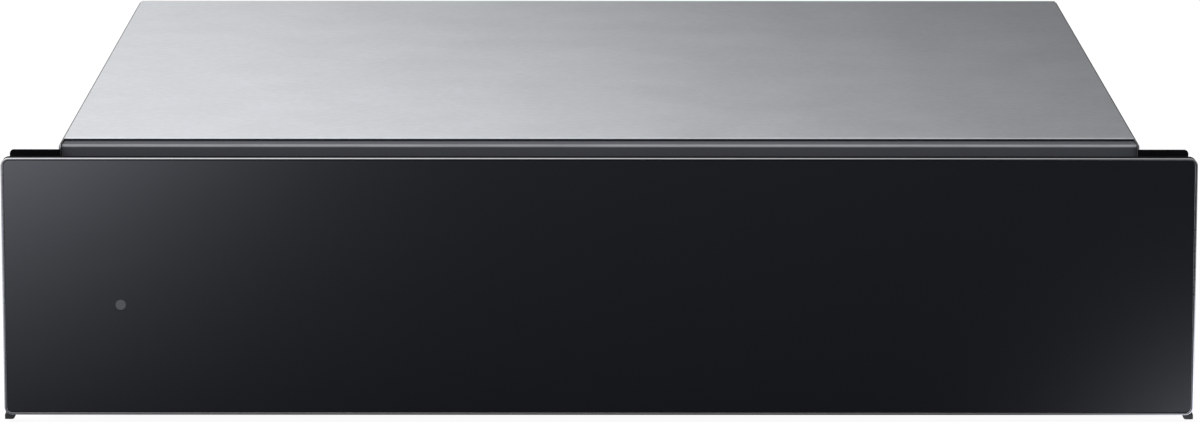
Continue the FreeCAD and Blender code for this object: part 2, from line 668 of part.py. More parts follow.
def drawer_inner_front():
    """Lipped channel behind the glass front: it carries the panel and holds the controls."""
    body = new_body("drawer_inner_front")
    back, front, gauge = "front_wall", "tray_back", "sheet"
    low, top = "box_base", "front_box_top"
    front_in, back_in, lip = f"{front} + {gauge}", f"{back} - {gauge}", "channel_lip"
    section = [(back, low), (back, top), (front, top), (front, f"{top} - {lip}"),
               (front_in, f"{top} - {lip}"), (front_in, f"{top} - {gauge}"),
               (back_in, f"{top} - {gauge}"), (back_in, f"{low} + {gauge}"),
               (front_in, f"{low} + {gauge}"), (front_in, f"{low} + {lip}"),
               (front, f"{low} + {lip}"), (front, low)]
    reach = "box_wide/2"
    extrude(body, "side", f"-({reach})", reach, [section])
    soften(body, "1.5", lambda edge: runs_along(edge, AXIS_X)
           and abs(edge.CenterOfMass.y - number(back)) < 1e-6
           and abs(edge.CenterOfMass.z - number(top)) < 1e-6)
    pocket(body, "front", f"{back} - {gauge}", back,
           circles=[("knob_across", "knob_high", "knob_shaft + 2"),
                    ("button_across", "knob_high", "button_wide + 0.6")])
    panel_screw_holes(body, "tray_back", f"tray_back + {gauge}", "shank_clear")


def panel_screw_rows():
    return ("front_box_top - panel_screw_rim", "box_base + panel_screw_rim")


def panel_screw_holes(body, start, end, wide):
    """Two rows of holes for the screws that hold the panel to the drawer's front channel."""
    for high in panel_screw_rows():
        hole = pocket(body, "front", start, end, circles=[("panel_screw_start", high, wide)])
        repeated(body, hole, "H_Axis", 4, "panel_screw_pitch")


def anti_slip_mat():
    body = new_body("anti_slip_mat")
    reach = "box_wide/2 - mat_margin"
    outline = rectangle(f"-({reach})", reach, "front_wall + mat_margin", "box_back - mat_margin")
    extrude(body, "top", "box_base + sheet", "box_base + sheet + mat_gauge", [outline])
    soften(body, "mat_corner", lambda edge: runs_along(edge, AXIS_Z))


# ---------------------------------------------------------------- glass front
PANEL_HALF = "panel_wide/2"
PANEL_TOP = "(panel_base + panel_tall)"


def panel_rectangle(inset):
    return rectangle(f"-({PANEL_HALF} - ({inset}))", f"{PANEL_HALF} - ({inset})",
                     f"panel_base + {inset}", f"{PANEL_TOP} - ({inset})")


def is_corner(edge, inset):
    """Whether an edge along Y stands at a corner of the panel with this inset."""
    half = number(f"{PANEL_HALF} - ({inset})")
    return runs_along(edge, AXIS_Y) and abs(abs(edge.CenterOfMass.x) - half) < 1e-6


def front_trim():
    """Bright metal lip all round the glass."""
    body = new_body("front_trim")
    back = "front_plane + lip_deep"
    extrude(body, "front", "front_plane", back, [panel_rectangle("0")])
    pocket(body, "front", "front_plane", back, [panel_rectangle("lip_wide")])
    soften(body, "corner_round - lip_wide", lambda edge: is_corner(edge, "lip_wide"))
    soften(body, "corner_round", lambda edge: is_corner(edge, "0"))
    front = number("front_plane")
    soften(body, "lip_round", lambda edge: abs(edge.BoundBox.YMax - front) < 1e-6)


def panel_backing():
    """Shallow black tray: its wall stands round the edge of the glass."""
    body = new_body("panel_backing")
    front = "front_plane + lip_deep"
    extrude(body, "front", front, "tray_back", [panel_rectangle("tray_inset")])
    inner = "tray_inset + tray_wall"
    pocket(body, "front", front, "tray_back - tray_gauge", [panel_rectangle(inner)])
    soften(body, "corner_round - tray_inset - tray_wall", lambda edge: is_corner(edge, inner))
    soften(body, "corner_round - tray_inset", lambda edge: is_corner(edge, "tray_inset"))
    holes = [("lens_across", "lens_high", "lens_bore + 0.4")]
    pocket(body, "front", "tray_back - tray_gauge", "tray_back", circles=holes)
    panel_screw_holes(body, "tray_back - tray_gauge", "tray_back", "shank_close")


GLASS_BACK = "(tray_back - tray_gauge - tape_gauge)"
GLASS_INSET = "(lip_wide + glass_gap)"


def front_glass():
    body = new_body("front_glass")
    front = f"{GLASS_BACK} - glass_gauge"
    extrude(body, "front", front, GLASS_BACK, [panel_rectangle(GLASS_INSET)])
    soften(body, "corner_round - lip_wide - glass_bevel", lambda edge: is_corner(edge, GLASS_INSET))
    face = number(front)
    bevel(body, "glass_bevel", lambda edge: abs(edge.BoundBox.YMax - face) < 1e-6)
    pocket(body, "front", front, GLASS_BACK, circles=[("lens_across", "lens_high", "lens_bore")])


def glass_tape():
    """Bonding frame between the glass and its tray."""
    body = new_body("glass_tape")
    extrude(body, "front", GLASS_BACK, "tray_back - tray_gauge", [panel_rectangle("tape_inset")])
    pocket(body, "front", GLASS_BACK, "tray_back - tray_gauge",
           [panel_rectangle("tape_inset + tape_wide")])


def panel_foot(name, side):
    """Black corner block that stands proud below the panel."""
    body = new_body(name)
    outer, inner = PANEL_HALF, f"{PANEL_HALF} - foot_wide"
    front, back = "front_plane + lip_deep", "front_plane + lip_deep + foot_deep"
    low, under = "panel_base - foot_drop", "panel_base + tray_inset"
    section = [(front, low), (back, low), (back, "panel_base + foot_rise"),
               ("tray_back", "panel_base + foot_rise"), ("tray_back", under), (front, under)]
    extrude(body, "side", *mirrored(side, inner, outer), [section])
    inner_x, low_z = side * number(inner), number(low)
    soften(body, "1.4", lambda edge: runs_along(edge, AXIS_Y)
           and abs(edge.CenterOfMass.x - inner_x) < 1e-6
           and abs(edge.CenterOfMass.z - low_z) < 1e-6)


def panel_screws():
    screws = []
    for tag, high in zip(("top", "low"), panel_screw_rows()):
        for index in range(4):
            seat = (f"panel_screw_start + {index}*panel_screw_pitch", "tray_back + sheet", high)
            screws.append(screw(f"panel_screw_{tag}_{index}", "-y", seat, "small_head",
                                "panel_head_deep", "shank", "sheet + tray_gauge - 0.1"))
    node(grouped("panel_screws", screws), "panel_screws")


def indicator_lens():
    """Light guide from the control box to the face of the glass."""
    front, back = f"{GLASS_BACK} - glass_gauge", "tray_back + 3"
    spot = ("lens_across", front, "lens_high")
    guide = rod("lens_guide", "y", spot, "lens_wide", f"{back} - ({front})")
    collar = rod("lens_collar", "y", ("lens_across", "tray_back", "lens_high"), "collar_wide", "1.4")
    node(joined("indicator_lens", [guide, collar]), "indicator_lens")


# ---------------------------------------------------------------- controls
BOX_FRONT, BOX_REAR = "(tray_back + 3)", "(front_wall - sheet - 3)"


def control_box():
    """Moulded housing with a lid-less front towards the glass and holes for the controls."""
    low_x, high_x, low_z, high_z = "case_left", "case_right", "case_low", "case_high"
    shell = block("control_shell", low_x, high_x, BOX_FRONT, BOX_REAR, low_z, high_z)
    skin = "case_skin"
    hollow = block("control_hollow", f"{low_x} + {skin}", f"{high_x} - {skin}",
                   f"{BOX_FRONT} + {skin}", f"{BOX_REAR} - {skin}", f"{low_z} + {skin}",
                   f"{high_z} - {skin}")
    switch_hole = rod("control_switch_hole", "y", ("knob_across", f"{BOX_REAR} - 3", "knob_high"),
                      "13", "6")
    light_hole = rod("control_light_hole", "y", ("lens_across", f"{BOX_FRONT} - 1", "lens_high"),
                     "5", "4")
    button_hole = rod("control_button_hole", "y",
                      ("button_across", f"{BOX_REAR} - 3", "knob_high"), "button_wide + 3.6", "6")
    whole = carved("control_open", shell, [hollow, switch_hole, light_hole, button_hole])
    bosses = []
    for tag_x, x in (("left", "case_left + boss_inset"), ("right", "case_right - boss_inset")):
        for tag_z, z in (("low", "case_low + boss_inset"), ("high", "case_high - boss_inset")):
            bosses.append(rod(f"control_boss_{tag_x}_{tag_z}", "y", (x, BOX_REAR, z),
                              "boss_wide", f"front_wall - sheet - {BOX_REAR}"))
    node(joined("control_housing", [whole] + bosses), "control_box")


def control_board():
    front, back = f"{BOX_FRONT} + board_inset", f"({BOX_FRONT} + board_inset + board_gauge)"
    board = block("board_sheet", "case_left + case_skin", "case_right - case_skin", front, back,
                  "case_low + case_skin", "case_high - case_skin")
    lamp = rod("board_lamp", "-y", ("lens_across", front, "lens_high"), "lamp_wide", "lamp_long")
    relay = block("board_relay", "relay_left", "relay_right", back, f"{back} + relay_tall",
                  "relay_low", "relay_high")
    drum = rod("board_capacitor", "y", ("drum_across", back, "relay_low"), "drum_wide", "drum_long")
    key = rod("board_key", "y", ("button_across", back, "knob_high"), "key_wide", "key_long")
    node(joined("board_whole", [board, lamp, relay, drum, key]), "control_board")


def rotary_switch():
    """Switch body on the board side of the wall, with the shaft that carries the knob."""
    case_back = f"({BOX_REAR} - 2)"
    spot = ("knob_across", case_back, "knob_high")
    case = block("switch_case", "knob_across - switch_half", "knob_across + switch_half",
                 f"{case_back} - switch_deep", case_back, "knob_high - switch_half",
                 "knob_high + switch_half")
    neck = rod("switch_collar", "y", spot, "switch_neck", f"front_wall - sheet - {case_back}")
    shaft = rod("switch_shaft", "y", spot, "knob_shaft", f"knob_back - 6 - {case_back}")
    node(joined("switch_whole", [case, neck, shaft]), "rotary_switch")


def control_fascia():
    body = new_body("control_fascia")
    outline = rectangle("fascia_left", "fascia_right", "knob_high - fascia_below",
                        "knob_high + fascia_above")
    extrude(body, "front", "front_wall", "front_wall + fascia_gauge", [outline])
    soften(body, "5", lambda edge: runs_along(edge, AXIS_Y))
    pocket(body, "front", "front_wall", "front_wall + fascia_gauge",
           circles=[("knob_across", "knob_high", "knob_shaft + 2"),
                    ("button_across", "knob_high", "button_wide + 0.6")])


def temperature_knob():
    """Round grip with a pointer notch in its face and a slot in its rim."""
    body = new_body("temperature_knob")
    near, far = "front_wall + fascia_gauge + 0.5", "knob_back"
    extrude(body, "front", near, far, circles=[("knob_across", "knob_high", "knob_wide")])
    rim = number(far)
    soften(body, "knob_round", lambda edge: abs(edge.BoundBox.YMin - rim) < 1e-6)
    notch = rectangle("knob_across - notch_half", "knob_across + notch_half",
                      "knob_high + notch_inner", "knob_high + notch_outer")
    pocket(body, "front", f"{far} - notch_deep", far, [notch])
    rim_low = "knob_high - knob_wide/2"
    groove = rectangle("knob_across - notch_half", "knob_across + notch_half",
                       f"{rim_low} - 1", f"{rim_low} + notch_deep")
    pocket(body, "front", f"{near} + groove_inset", f"{far} - groove_inset", [groove])
    pocket(body, "front", near, f"{far} - knob_socket",
           circles=[("knob_across", "knob_high", "knob_shaft + 0.1")])


def power_button():
    body = new_body("power_button")
    cap_back, flange_back = "front_wall + fascia_gauge + 2.6", "front_wall - sheet - 0.3"
    extrude(body, "front", f"{flange_back} - 2", cap_back,
            circles=[("button_across", "knob_high", "button_wide")])
    extrude(body, "front", f"{flange_back} - 2", flange_back,
            circles=[("button_across", "knob_high", "button_wide + 2")])
    extrude(body, "front", f"{flange_back} - 9.7", f"{flange_back} - 2",
            circles=[("button_across", "knob_high", "5")])
    rim = number(cap_back)
    soften(body, "0.8", lambda edge: abs(edge.BoundBox.YMin - rim) < 1e-6)


# ---------------------------------------------------------------- warm-air unit
def fan_plate():
    """Upright sheet across the back of the chassis that carries the warm-air unit."""
    body = new_body("fan_plate")
    front, back = "fan_plate_front", "fan_plate_front + fan_plate_gauge"
    extrude(body, "front", front, back,
            [rectangle("-fan_plate_half", "fan_plate_half", "sheet", SHELF_TOP)])
    drop = "element_wide/2*0.966"
    offset = "element_wide/2*0.259"
    pocket(body, "front", front, back,
           circles=[("0", "fan_high", "shaft_window"),
                    (f"-({offset})", f"fan_high - {drop}", "element_tube + 1.6"),
                    (offset, f"fan_high - {drop}", "element_tube + 1.6"),
                    ("thermostat_across", "fan_high + thermostat_rise",
                     "thermostat_face + 0.6")])
    slot_row(body, "front", front, back, ("plate_slot_start", "plate_slot_low"),
             ("slot_wide", "plate_slot_tall"), 9, "slot_pitch")


def fan_guard():
    """Shallow pan over the fan with a round field of air holes, open towards the fan plate."""
    body = new_body("fan_guard")
    front, back, gauge = "guard_front", "fan_plate_front", "sheet"
    wide, tall = "guard_half_wide", "guard_half_tall"
    outline = rectangle(f"-{wide}", wide, f"fan_high - {tall}", f"fan_high + {tall}")
    extrude(body, "front", front, back, [outline])
    inner = rectangle(f"-({wide} - {gauge})", f"{wide} - {gauge}",
                      f"fan_high - ({tall} - {gauge})", f"fan_high + {tall} - {gauge}")
    pocket(body, "front", f"{front} + {gauge}", back, [inner])
    for inset in (gauge, "0*sheet"):
        corner = number(f"{wide} - {inset}")
        soften(body, f"guard_corner - {inset}", lambda edge: runs_along(edge, AXIS_Y)
               and abs(abs(edge.CenterOfMass.x) - corner) < 1e-6)
    for ring, count in ((0, 1), (9, 6), (18, 12), (27, 18), (36, 24)):
        hole = ring_hole(body, front, gauge, ring)
        if count > 1:
            around(body, hole, count)


def ring_hole(body, front, gauge, ring):
    """One air hole, in a sketch centred on the fan so that it can be repeated round it."""
    sketch = sketch_on(body, "front", front)
    bind(sketch, ".AttachmentOffset.Base.y", "fan_high")
    draw_circle(sketch, "0", str(ring), "air_hole")
    hole = body.newObject("PartDesign::Pocket", "guard_hole")
    hole.Profile = sketch
    bind(hole, "Length", gauge)
    body.Tip = hole
    DOC.recompute()
    return hole


def motor_bracket():
    """Ring on three posts that holds the motor off the fan plate."""
    back = "fan_plate_front + fan_plate_gauge"
    ring = rod("bracket_ring", "y", ("0", "motor_front - bracket_gauge", "fan_high"),
               "bracket_wide", "bracket_gauge")
    hole = rod("bracket_hole", "y", ("0", "motor_front - 3", "fan_high"), "motor_boss + 2", "5")
    posts = []
    for index in range(3):
        turn = math.radians(90 + 120 * index)
        spot = (f"post_ring*{math.cos(turn):.4f}", back, f"fan_high + post_ring*{math.sin(turn):.4f}")
        posts.append(rod(f"bracket_post_{index}", "y", spot, "post_wide",
                         f"motor_front - bracket_gauge - ({back})"))
    node(joined("motor_mount", [carved("bracket_open", ring, [hole])] + posts), "motor_bracket")


def fan_motor():
    """Motor can with a stator pack around it and a blind bearing for the shaft."""
    spot = ("0", "motor_front", "fan_high")
    can = rod("motor_can", "y", spot, "motor_wide", "motor_back - motor_front - 4")
    boss = rod("motor_boss_end", "y", spot, "motor_boss", "motor_back - motor_front")
    pack = block("motor_pack", "-stator_half", "stator_half", "motor_front + 6",
                 "motor_front + 18", "fan_high - stator_half + 10", "fan_high + stator_half - 10")
    bore = rod("motor_bore", "y", ("0", "motor_front - 1", "fan_high"), "shaft_bore",
               "shaft_socket + 1")
    node(carved("motor_whole", joined("motor_solid", [can, boss, pack]), [bore]), "fan_motor")


def fan_shaft():
    node(rod("shaft_rod", "y", ("0", "guard_front + 5", "fan_high"), "shaft_wide",
             "motor_front + shaft_socket - 1 - (guard_front + 5)"), "fan_shaft")


def fan_impeller():
    """Back disc with a hub and a ring of straight blades."""
    body = new_body("fan_impeller")
    disc_back = "fan_plate_front - 4"
    blade_front = f"{disc_back} - impeller_deep"
    for start, end, wide in ((f"{disc_back} - 1", disc_back, "impeller_wide"),
                             (f"{blade_front} + 3", disc_back, "impeller_hub")):
        extrude(body, "front", start, end, circles=[("0", "fan_high", wide)])
    pocket(body, "front", f"{blade_front} + 3", disc_back,
           circles=[("0", "fan_high", "shaft_wide")])
    sketch = sketch_on(body, "front", f"{disc_back} - 0.5")
    bind(sketch, ".AttachmentOffset.Base.y", "fan_high")
    half = "blade_gauge/2"
    draw_outline(sketch, [(f"-{half}", "blade_inner"), (half, "blade_inner"),
                          (f"blade_lean + {half}", "blade_outer"),
                          (f"blade_lean - {half}", "blade_outer")])
    blade = body.newObject("PartDesign::Pad", "impeller_blade")
    blade.Profile = sketch
    bind(blade, "Length", "impeller_deep - 0.5")
    body.Tip = blade
    DOC.recompute()
    around(body, blade, 16)


def heating_element():
    """Tube bent to an open ring round the impeller, with both ends through the fan plate."""
    level, tube = "fan_plate_front - 10", "element_tube"
    ring = DOC.addObject("Part::Torus", "element_ring")
    bind(ring, "Radius1", "element_wide/2")
    bind(ring, "Radius2", f"{tube}/2")
    ring.Angle3 = 330
    ring.Placement = Placement(Vector(), Rotation(Vector(1, 0, 0), 90) * Rotation(Vector(0, 0, 1), -75))
    for axis, expression in zip("xyz", ("0", level, "fan_high")):
        bind(ring, f".Placement.Base.{axis}", expression)
    parts = [ring]
    for tag, sign in (("left", -1), ("right", 1)):
        spot = (f"{sign}*element_wide/2*sin(15)", level, "fan_high - element_wide/2*cos(15)")
        knee = DOC.addObject("Part::Sphere", f"element_knee_{tag}")
        bind(knee, "Radius", f"{tube}/2")
        place(knee, spot)
        tail = rod(f"element_tail_{tag}", "y", spot, tube, "element_tail")
        stud = rod(f"element_stud_{tag}", "y", spot, "stud_wide", "element_stud")
        bush_seat = (spot[0], "fan_plate_front + fan_plate_gauge", spot[2])
        bush = rod(f"element_bush_{tag}", "y", bush_seat, "bush_wide", "bush_deep")
        parts += [knee, tail, stud, bush]
    node(joined("element_whole", parts), "heating_element")


def safety_thermostat():
    """Disc thermostat: its sensing face looks through the fan plate."""
    across, high = "thermostat_across", "(fan_high + thermostat_rise)"
    spot = (across, "fan_plate_front - 1.5", high)
    back = "fan_plate_front + fan_plate_gauge"
    face = rod("thermostat_disc", "y", spot, "thermostat_face", "4")
    case = rod("thermostat_can", "y", (spot[0], back, spot[2]), "thermostat_case",
               "thermostat_deep")
    ears = block("thermostat_ears", f"{across} - thermostat_ear", f"{across} + thermostat_ear",
                 back, f"{back} + sheet", f"{high} - 4", f"{high} + 4")
    tabs = [block(f"thermostat_tab_{tag}", f"{across} + {x}", f"{across} + {x} + sheet",
                  f"{back} + thermostat_deep", f"{back} + thermostat_deep + 10",
                  f"{high} - 3", f"{high} + 3") for tag, x in (("a", -5), ("b", 4))]
    node(joined("thermostat_whole", [face, case, ears] + tabs), "safety_thermostat")


def terminal_block():
    """Mains terminals on a foot that stands on the floor sheet."""
    top = "sheet + terminal_tall"
    body = block("terminal_case", "gland_across - terminal_half", "gland_across + terminal_half",
                 "terminal_front", "terminal_back", "sheet", top)
    spots = [f"gland_across + {step}*terminal_pitch" for step in (-1, 0, 1)]
    wells = [rod(f"terminal_well_{index}", "-z",
                 (across, "(terminal_front + terminal_back)/2", top), "well_wide", "well_deep")
             for index, across in enumerate(spots)]
    entries = [rod(f"terminal_entry_{index}", "y",
                   (across, "terminal_front - 3", "sheet + entry_high"), "entry_wide",
                   "terminal_back - terminal_front + 6")
               for index, across in enumerate(spots)]
    node(carved("terminal_whole", body, wells + entries), "terminal_block")


def cable_gland():
    """Gland in the rear wall: threaded body, nut inside, open bore for the mains lead."""
    wall_in, wall_out = "chassis_back - sheet", "chassis_back"
    spot = ("gland_across", f"{wall_in} - gland_inside", "gland_high")
    thread = rod("gland_thread_tube", "y", spot, "gland_thread", "gland_inside + sheet + gland_tip")
    nut = DOC.addObject("Part::Prism", "gland_nut_ring")
    nut.Polygon = 6
    bind(nut, "Circumradius", "gland_nut")
    bind(nut, "Height", "gland_nut_deep")
    place(nut, ("gland_across", f"{wall_in} - gland_nut_deep", "gland_high"), "y")
    cap = rod("gland_cap_ring", "y", ("gland_across", wall_out, "gland_high"), "gland_cap",
              "gland_cap_deep")
    bore = rod("gland_bore_tool", "y", ("gland_across", f"{wall_in} - gland_inside - 2",
                                        "gland_high"), "gland_bore", "30")
    node(carved("gland_whole", joined("gland_solid", [thread, nut, cap]), [bore]), "cable_gland")


def rear_spacers():
    """Formed stand-offs that keep an air gap behind the chassis."""
    spacers = []
    for label, side in SIDES.items():
        low_x, high_x = mirrored(side, "spacer_inner", "spacer_outer")
        foot_low, foot_high = mirrored(side, "spacer_inner - spacer_flange",
                                       "spacer_outer + spacer_flange")
        hat = block(f"spacer_hat_{label}", low_x, high_x, "chassis_back", "spacer_back",
                    "spacer_low", "spacer_high")
        hollow = block(f"spacer_hollow_{label}", f"{low_x} + sheet", f"{high_x} - sheet",
                       "chassis_back - 1", "spacer_back - sheet", "spacer_low - 1",
                       "spacer_high + 1")
        feet = block(f"spacer_feet_{label}", foot_low, foot_high, "chassis_back",
                     "chassis_back + sheet", "spacer_low", "spacer_high")
        spacers.append(carved(f"spacer_{label}",
                              joined(f"spacer_solid_{label}", [hat, feet]), [hollow]))
    node(grouped("rear_spacers", spacers), "rear_spacers")


# ---------------------------------------------------------------- push latch
def latch_housing():
    """Housing in front of the fan plate: its bore guides the sprung pin."""
    case = block("latch_case", "latch_across - latch_half", "latch_across + latch_half",
                 "latch_front", "fan_plate_front", "latch_high - latch_half",
                 "latch_high + latch_half")
    bore = rod("latch_bore", "y", ("latch_across", "latch_front - 1", "latch_high"),
               "latch_pin_wide + 0.12", "fan_plate_front - latch_wall - (latch_front - 1)")
    node(carved("latch_case_whole", case, [bore]), "latch_housing")


def latch_pin():
    body = new_body("latch_pin")
    extrude(body, "front", "latch_tip", "latch_front + 5",
            circles=[("latch_across", "latch_high", "latch_pin_wide")])
    tip = number("latch_tip")
    soften(body, "1.5", lambda edge: abs(edge.BoundBox.YMax - tip) < 1e-6)


def latch_spring():
    """Coil spring drawn as the sleeve that it fills behind the pin."""
    spot = ("latch_across", "latch_front + 5.1", "latch_high")
    sleeve = rod("spring_sleeve", "y", spot, "spring_wide",
                 "fan_plate_front - latch_wall - (latch_front + 5.1)")
    core = rod("spring_gap", "y", spot, "spring_core", "40")
    node(carved("spring_whole", sleeve, [core]), "latch_spring")


def latch_striker():
    """Plate on the drawer's back that the latch pin works against."""
    plate = block("striker_plate", "latch_across - striker_half", "latch_across + striker_half",
                  "box_back", "striker_back", "latch_high - striker_half",
                  "latch_high + striker_half")
    dish = rod("striker_dish", "-y", ("latch_across", "striker_back", "latch_high"),
               "dish_wide", "dish_deep")
    node(carved("striker_whole", plate, [dish]), "latch_striker")


# ---------------------------------------------------------------- build and write
def build_all():
    bottom_plate()
    rear_wall()
    top_cover()
    front_crossbar_top()
    front_crossbar_bottom()
    chassis_screws()
    front_buffers()
    ball_slides()
    drawer_floor()
    drawer_rear_wall()
    drawer_inner_front()
    anti_slip_mat()
    drawer_screws()
    front_trim()
    panel_backing()
    front_glass()
    glass_tape()
    panel_screws()
    indicator_lens()
    control_box()
    control_board()
    rotary_switch()
    control_fascia()
    temperature_knob()
    power_button()
    fan_plate()
    fan_guard()
    motor_bracket()
    fan_motor()
    fan_shaft()
    fan_impeller()
    heating_element()
    safety_thermostat()
    terminal_block()
    cable_gland()
    rear_spacers()
    latch_housing()
    latch_pin()
    latch_spring()
    latch_striker()
    for label, side in SIDES.items():
        side_wall(f"side_wall_{label}", side)
        side_flange(f"side_flange_{label}", side)
        drawer_side(f"drawer_side_{label}", side)
        panel_foot(f"panel_foot_{label}", side)


def check_all():
    """Stop before anything is written if a feature failed or a shape is bad."""
    for thing in DOC.Objects:
        for state in thing.State:
            assert "Invalid" not in state and "Error" not in state, f"{thing.Label}: {state}"
    for thing in NODES:
        assert not thing.Shape.isNull() and thing.Shape.isValid(), f"{thing.Label}: bad shape"
        assert thing.Shape.Volume > 0, f"{thing.Label}: empty"


def write_all():
    os.makedirs("parts", exist_ok=True)
    for thing in NODES:
        thing.Shape.exportStep(f"parts/{thing.Label}.step")
        box = thing.Shape.BoundBox
        print(f"{thing.Label}: {len(thing.Shape.Solids)} solids, {thing.Shape.Volume:.0f} mm3, "
              f"x {box.XMin:.1f}..{box.XMax:.1f} y {box.YMin:.1f}..{box.YMax:.1f} "
              f"z {box.ZMin:.1f}..{box.ZMax:.1f}")


build_all()
DOC.recompute()
check_all()
write_all()
print(f"{len(NODES)} nodes")
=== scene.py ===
import bpy
import bmesh
import functools
import json
import math
from mathutils import Euler, Matrix, Vector


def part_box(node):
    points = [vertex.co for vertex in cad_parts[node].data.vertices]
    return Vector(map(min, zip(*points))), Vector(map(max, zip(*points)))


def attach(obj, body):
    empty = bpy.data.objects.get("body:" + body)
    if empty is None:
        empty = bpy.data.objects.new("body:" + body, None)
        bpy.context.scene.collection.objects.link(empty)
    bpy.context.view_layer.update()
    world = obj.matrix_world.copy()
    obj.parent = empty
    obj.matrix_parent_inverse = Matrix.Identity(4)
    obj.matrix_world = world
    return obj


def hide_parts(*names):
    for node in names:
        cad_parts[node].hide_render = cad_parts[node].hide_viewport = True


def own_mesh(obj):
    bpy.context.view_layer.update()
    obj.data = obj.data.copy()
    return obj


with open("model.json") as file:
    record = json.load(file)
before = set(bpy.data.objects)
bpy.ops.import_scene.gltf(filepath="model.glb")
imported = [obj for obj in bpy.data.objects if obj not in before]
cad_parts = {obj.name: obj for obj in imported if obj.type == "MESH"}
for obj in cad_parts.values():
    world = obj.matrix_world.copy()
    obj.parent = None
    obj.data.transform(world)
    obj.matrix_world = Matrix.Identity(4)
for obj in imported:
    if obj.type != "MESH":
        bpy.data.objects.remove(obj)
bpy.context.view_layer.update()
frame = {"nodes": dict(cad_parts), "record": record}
nodes = frame["nodes"]
print("frame loaded:", len(nodes), "nodes")


# Small helpers for node trees. A socket knows its own tree, so most of them need no tree.
def feed(value, socket):
    if isinstance(value, bpy.types.NodeSocket):
        socket.id_data.links.new(value, socket)
    else:
        socket.default_value = value


def addNode(tree, kind, values=None, **settings):
    made = tree.nodes.new(kind)
    for name, value in settings.items():
        setattr(made, name, value)
    for name, value in (values or {}).items():
        feed(value, made.inputs[name])
    return made


def treeOf(*values):
    # tree of the first socket among the values, or None
    for value in values:
        if isinstance(value, bpy.types.NodeSocket):
            return value.id_data


def calc(operation, *terms, clamp=False):
    return addNode(treeOf(*terms), "ShaderNodeMath", dict(enumerate(terms)),
                   operation=operation, use_clamp=clamp).outputs[0]


plus, minus, times = (functools.partial(calc, kind) for kind in ("ADD", "SUBTRACT", "MULTIPLY"))


def ranged(value, low, high, toLow=0.0, toHigh=1.0, kind="SMOOTHSTEP"):
    values = {"Value": value, "From Min": low, "From Max": high, "To Min": toLow, "To Max": toHigh}
    return addNode(value.id_data, "ShaderNodeMapRange", values, interpolation_type=kind).outputs[0]


def curved(value, points):
    # straight lines between the given (value, result) pairs
    low, high = points[0][0], points[-1][0]
    top = max(result for _, result in points)
    share = ranged(value, low, high, kind="LINEAR")
    made = addNode(value.id_data, "ShaderNodeFloatCurve", {"Value": share})
    line = made.mapping.curves[0]
    while len(line.points) < len(points):
        line.points.new(0.5, 0.5)
    for point, (place, result) in zip(line.points, points):
        point.location = ((place - low) / (high - low), result / top)
        point.handle_type = "VECTOR"
    made.mapping.update()
    return times(made.outputs[0], top)


def split(vector):
    return addNode(vector.id_data, "ShaderNodeSeparateXYZ", {0: vector}).outputs


def vector(x=0.0, y=0.0, z=0.0):
    tree = treeOf(x, y, z)
    if not tree:
        return (x, y, z)
    return addNode(tree, "ShaderNodeCombineXYZ", {0: x, 1: y, 2: z}).outputs[0]


def vectorCalc(operation, first, second, slot=1):
    values = {0: first, slot: second}
    made = addNode(treeOf(first, second), "ShaderNodeVectorMath", values, operation=operation)
    return made.outputs["Value" if operation == "DOT_PRODUCT" else 0]


def scaled(first, factor):
    return vectorCalc("SCALE", first, factor, "Scale")


def mixColor(factor, first, second):
    values = {0: factor, 6: first, 7: second}
    return addNode(factor.id_data, "ShaderNodeMix", values, data_type="RGBA").outputs[2]


def objectPoint(tree, scale=None, turn=(0, 0, 0)):
    point = addNode(tree, "ShaderNodeTexCoord").outputs["Object"]
    if scale:
        values = {"Vector": point, "Scale": scale, "Rotation": turn}
        point = addNode(tree, "ShaderNodeMapping", values).outputs[0]
    return point


def noise(point, scale, detail=2.0, rough=0.5, distortion=0.0):
    return addNode(point.id_data, "ShaderNodeTexNoise", {
        "Vector": point, "Scale": scale, "Detail": detail, "Roughness": rough,
        "Distortion": distortion}).outputs["Fac"]


def bumped(height, strength, distance=0.0001):
    values = {"Strength": strength, "Distance": distance, "Height": height}
    return addNode(height.id_data, "ShaderNodeBump", values).outputs[0]


def normalOf(tree):
    return addNode(tree, "ShaderNodeNewGeometry").outputs["Normal"]


def gray(level):
    return (level, level, level, 1)


def pick(table, *keys):
    return [table[key] for key in keys]


def addObject(name, data):
    made = bpy.data.objects.new(name, data)
    bpy.context.scene.collection.objects.link(made)
    return made


def blank(kind, name):
    # material or world with an empty tree
    made = kind.new(name)
    made.use_nodes = True
    made.node_tree.nodes.clear()
    return made, made.node_tree


# Camera
cameraSet = {
    "place": (-0.00323, -3.09325, 0.60089),
    "tilt": 80.0754,    # degrees from straight down
    "swing": -0.0739,   # degrees to the left of straight ahead
    "roll": 0.035,      # degrees about the line of sight
    "lens": 172.575,
}


def makeCamera():
    data = bpy.data.cameras.new("camera")
    data.lens = cameraSet["lens"]
    data.sensor_width = 36
    data.clip_start, data.clip_end = 0.05, 60
    camera = addObject("camera", data)
    camera.location = cameraSet["place"]
    tilt, swing, roll = map(math.radians, pick(cameraSet, "tilt", "swing", "roll"))
    aimed = Euler((tilt, 0, swing)).to_matrix() @ Matrix.Rotation(roll, 3, "Z")
    camera.rotation_euler = aimed.to_euler()
    bpy.context.scene.camera = camera
    bpy.context.scene.view_settings.view_transform = "Standard"


makeCamera()
print("camera ready")


# Studio: floor, world, lamps and reflector cards
studio = {
    "floorHalf": 6.0, "floorLevel": -0.0004,
    "floorColor": gray(0.80),
    "floorGlow": 1.10,      # white of the floor where it is looked at
    "floorShare": 0.85,     # share of that white, the rest keeps the shadow
    "skyFill": (0.55, 0.56, 0.58, 1),
}


def isLookedAt(tree):
    rays = addNode(tree, "ShaderNodeLightPath").outputs
    return calc("MAXIMUM", rays["Is Camera Ray"], rays["Is Transmission Ray"])


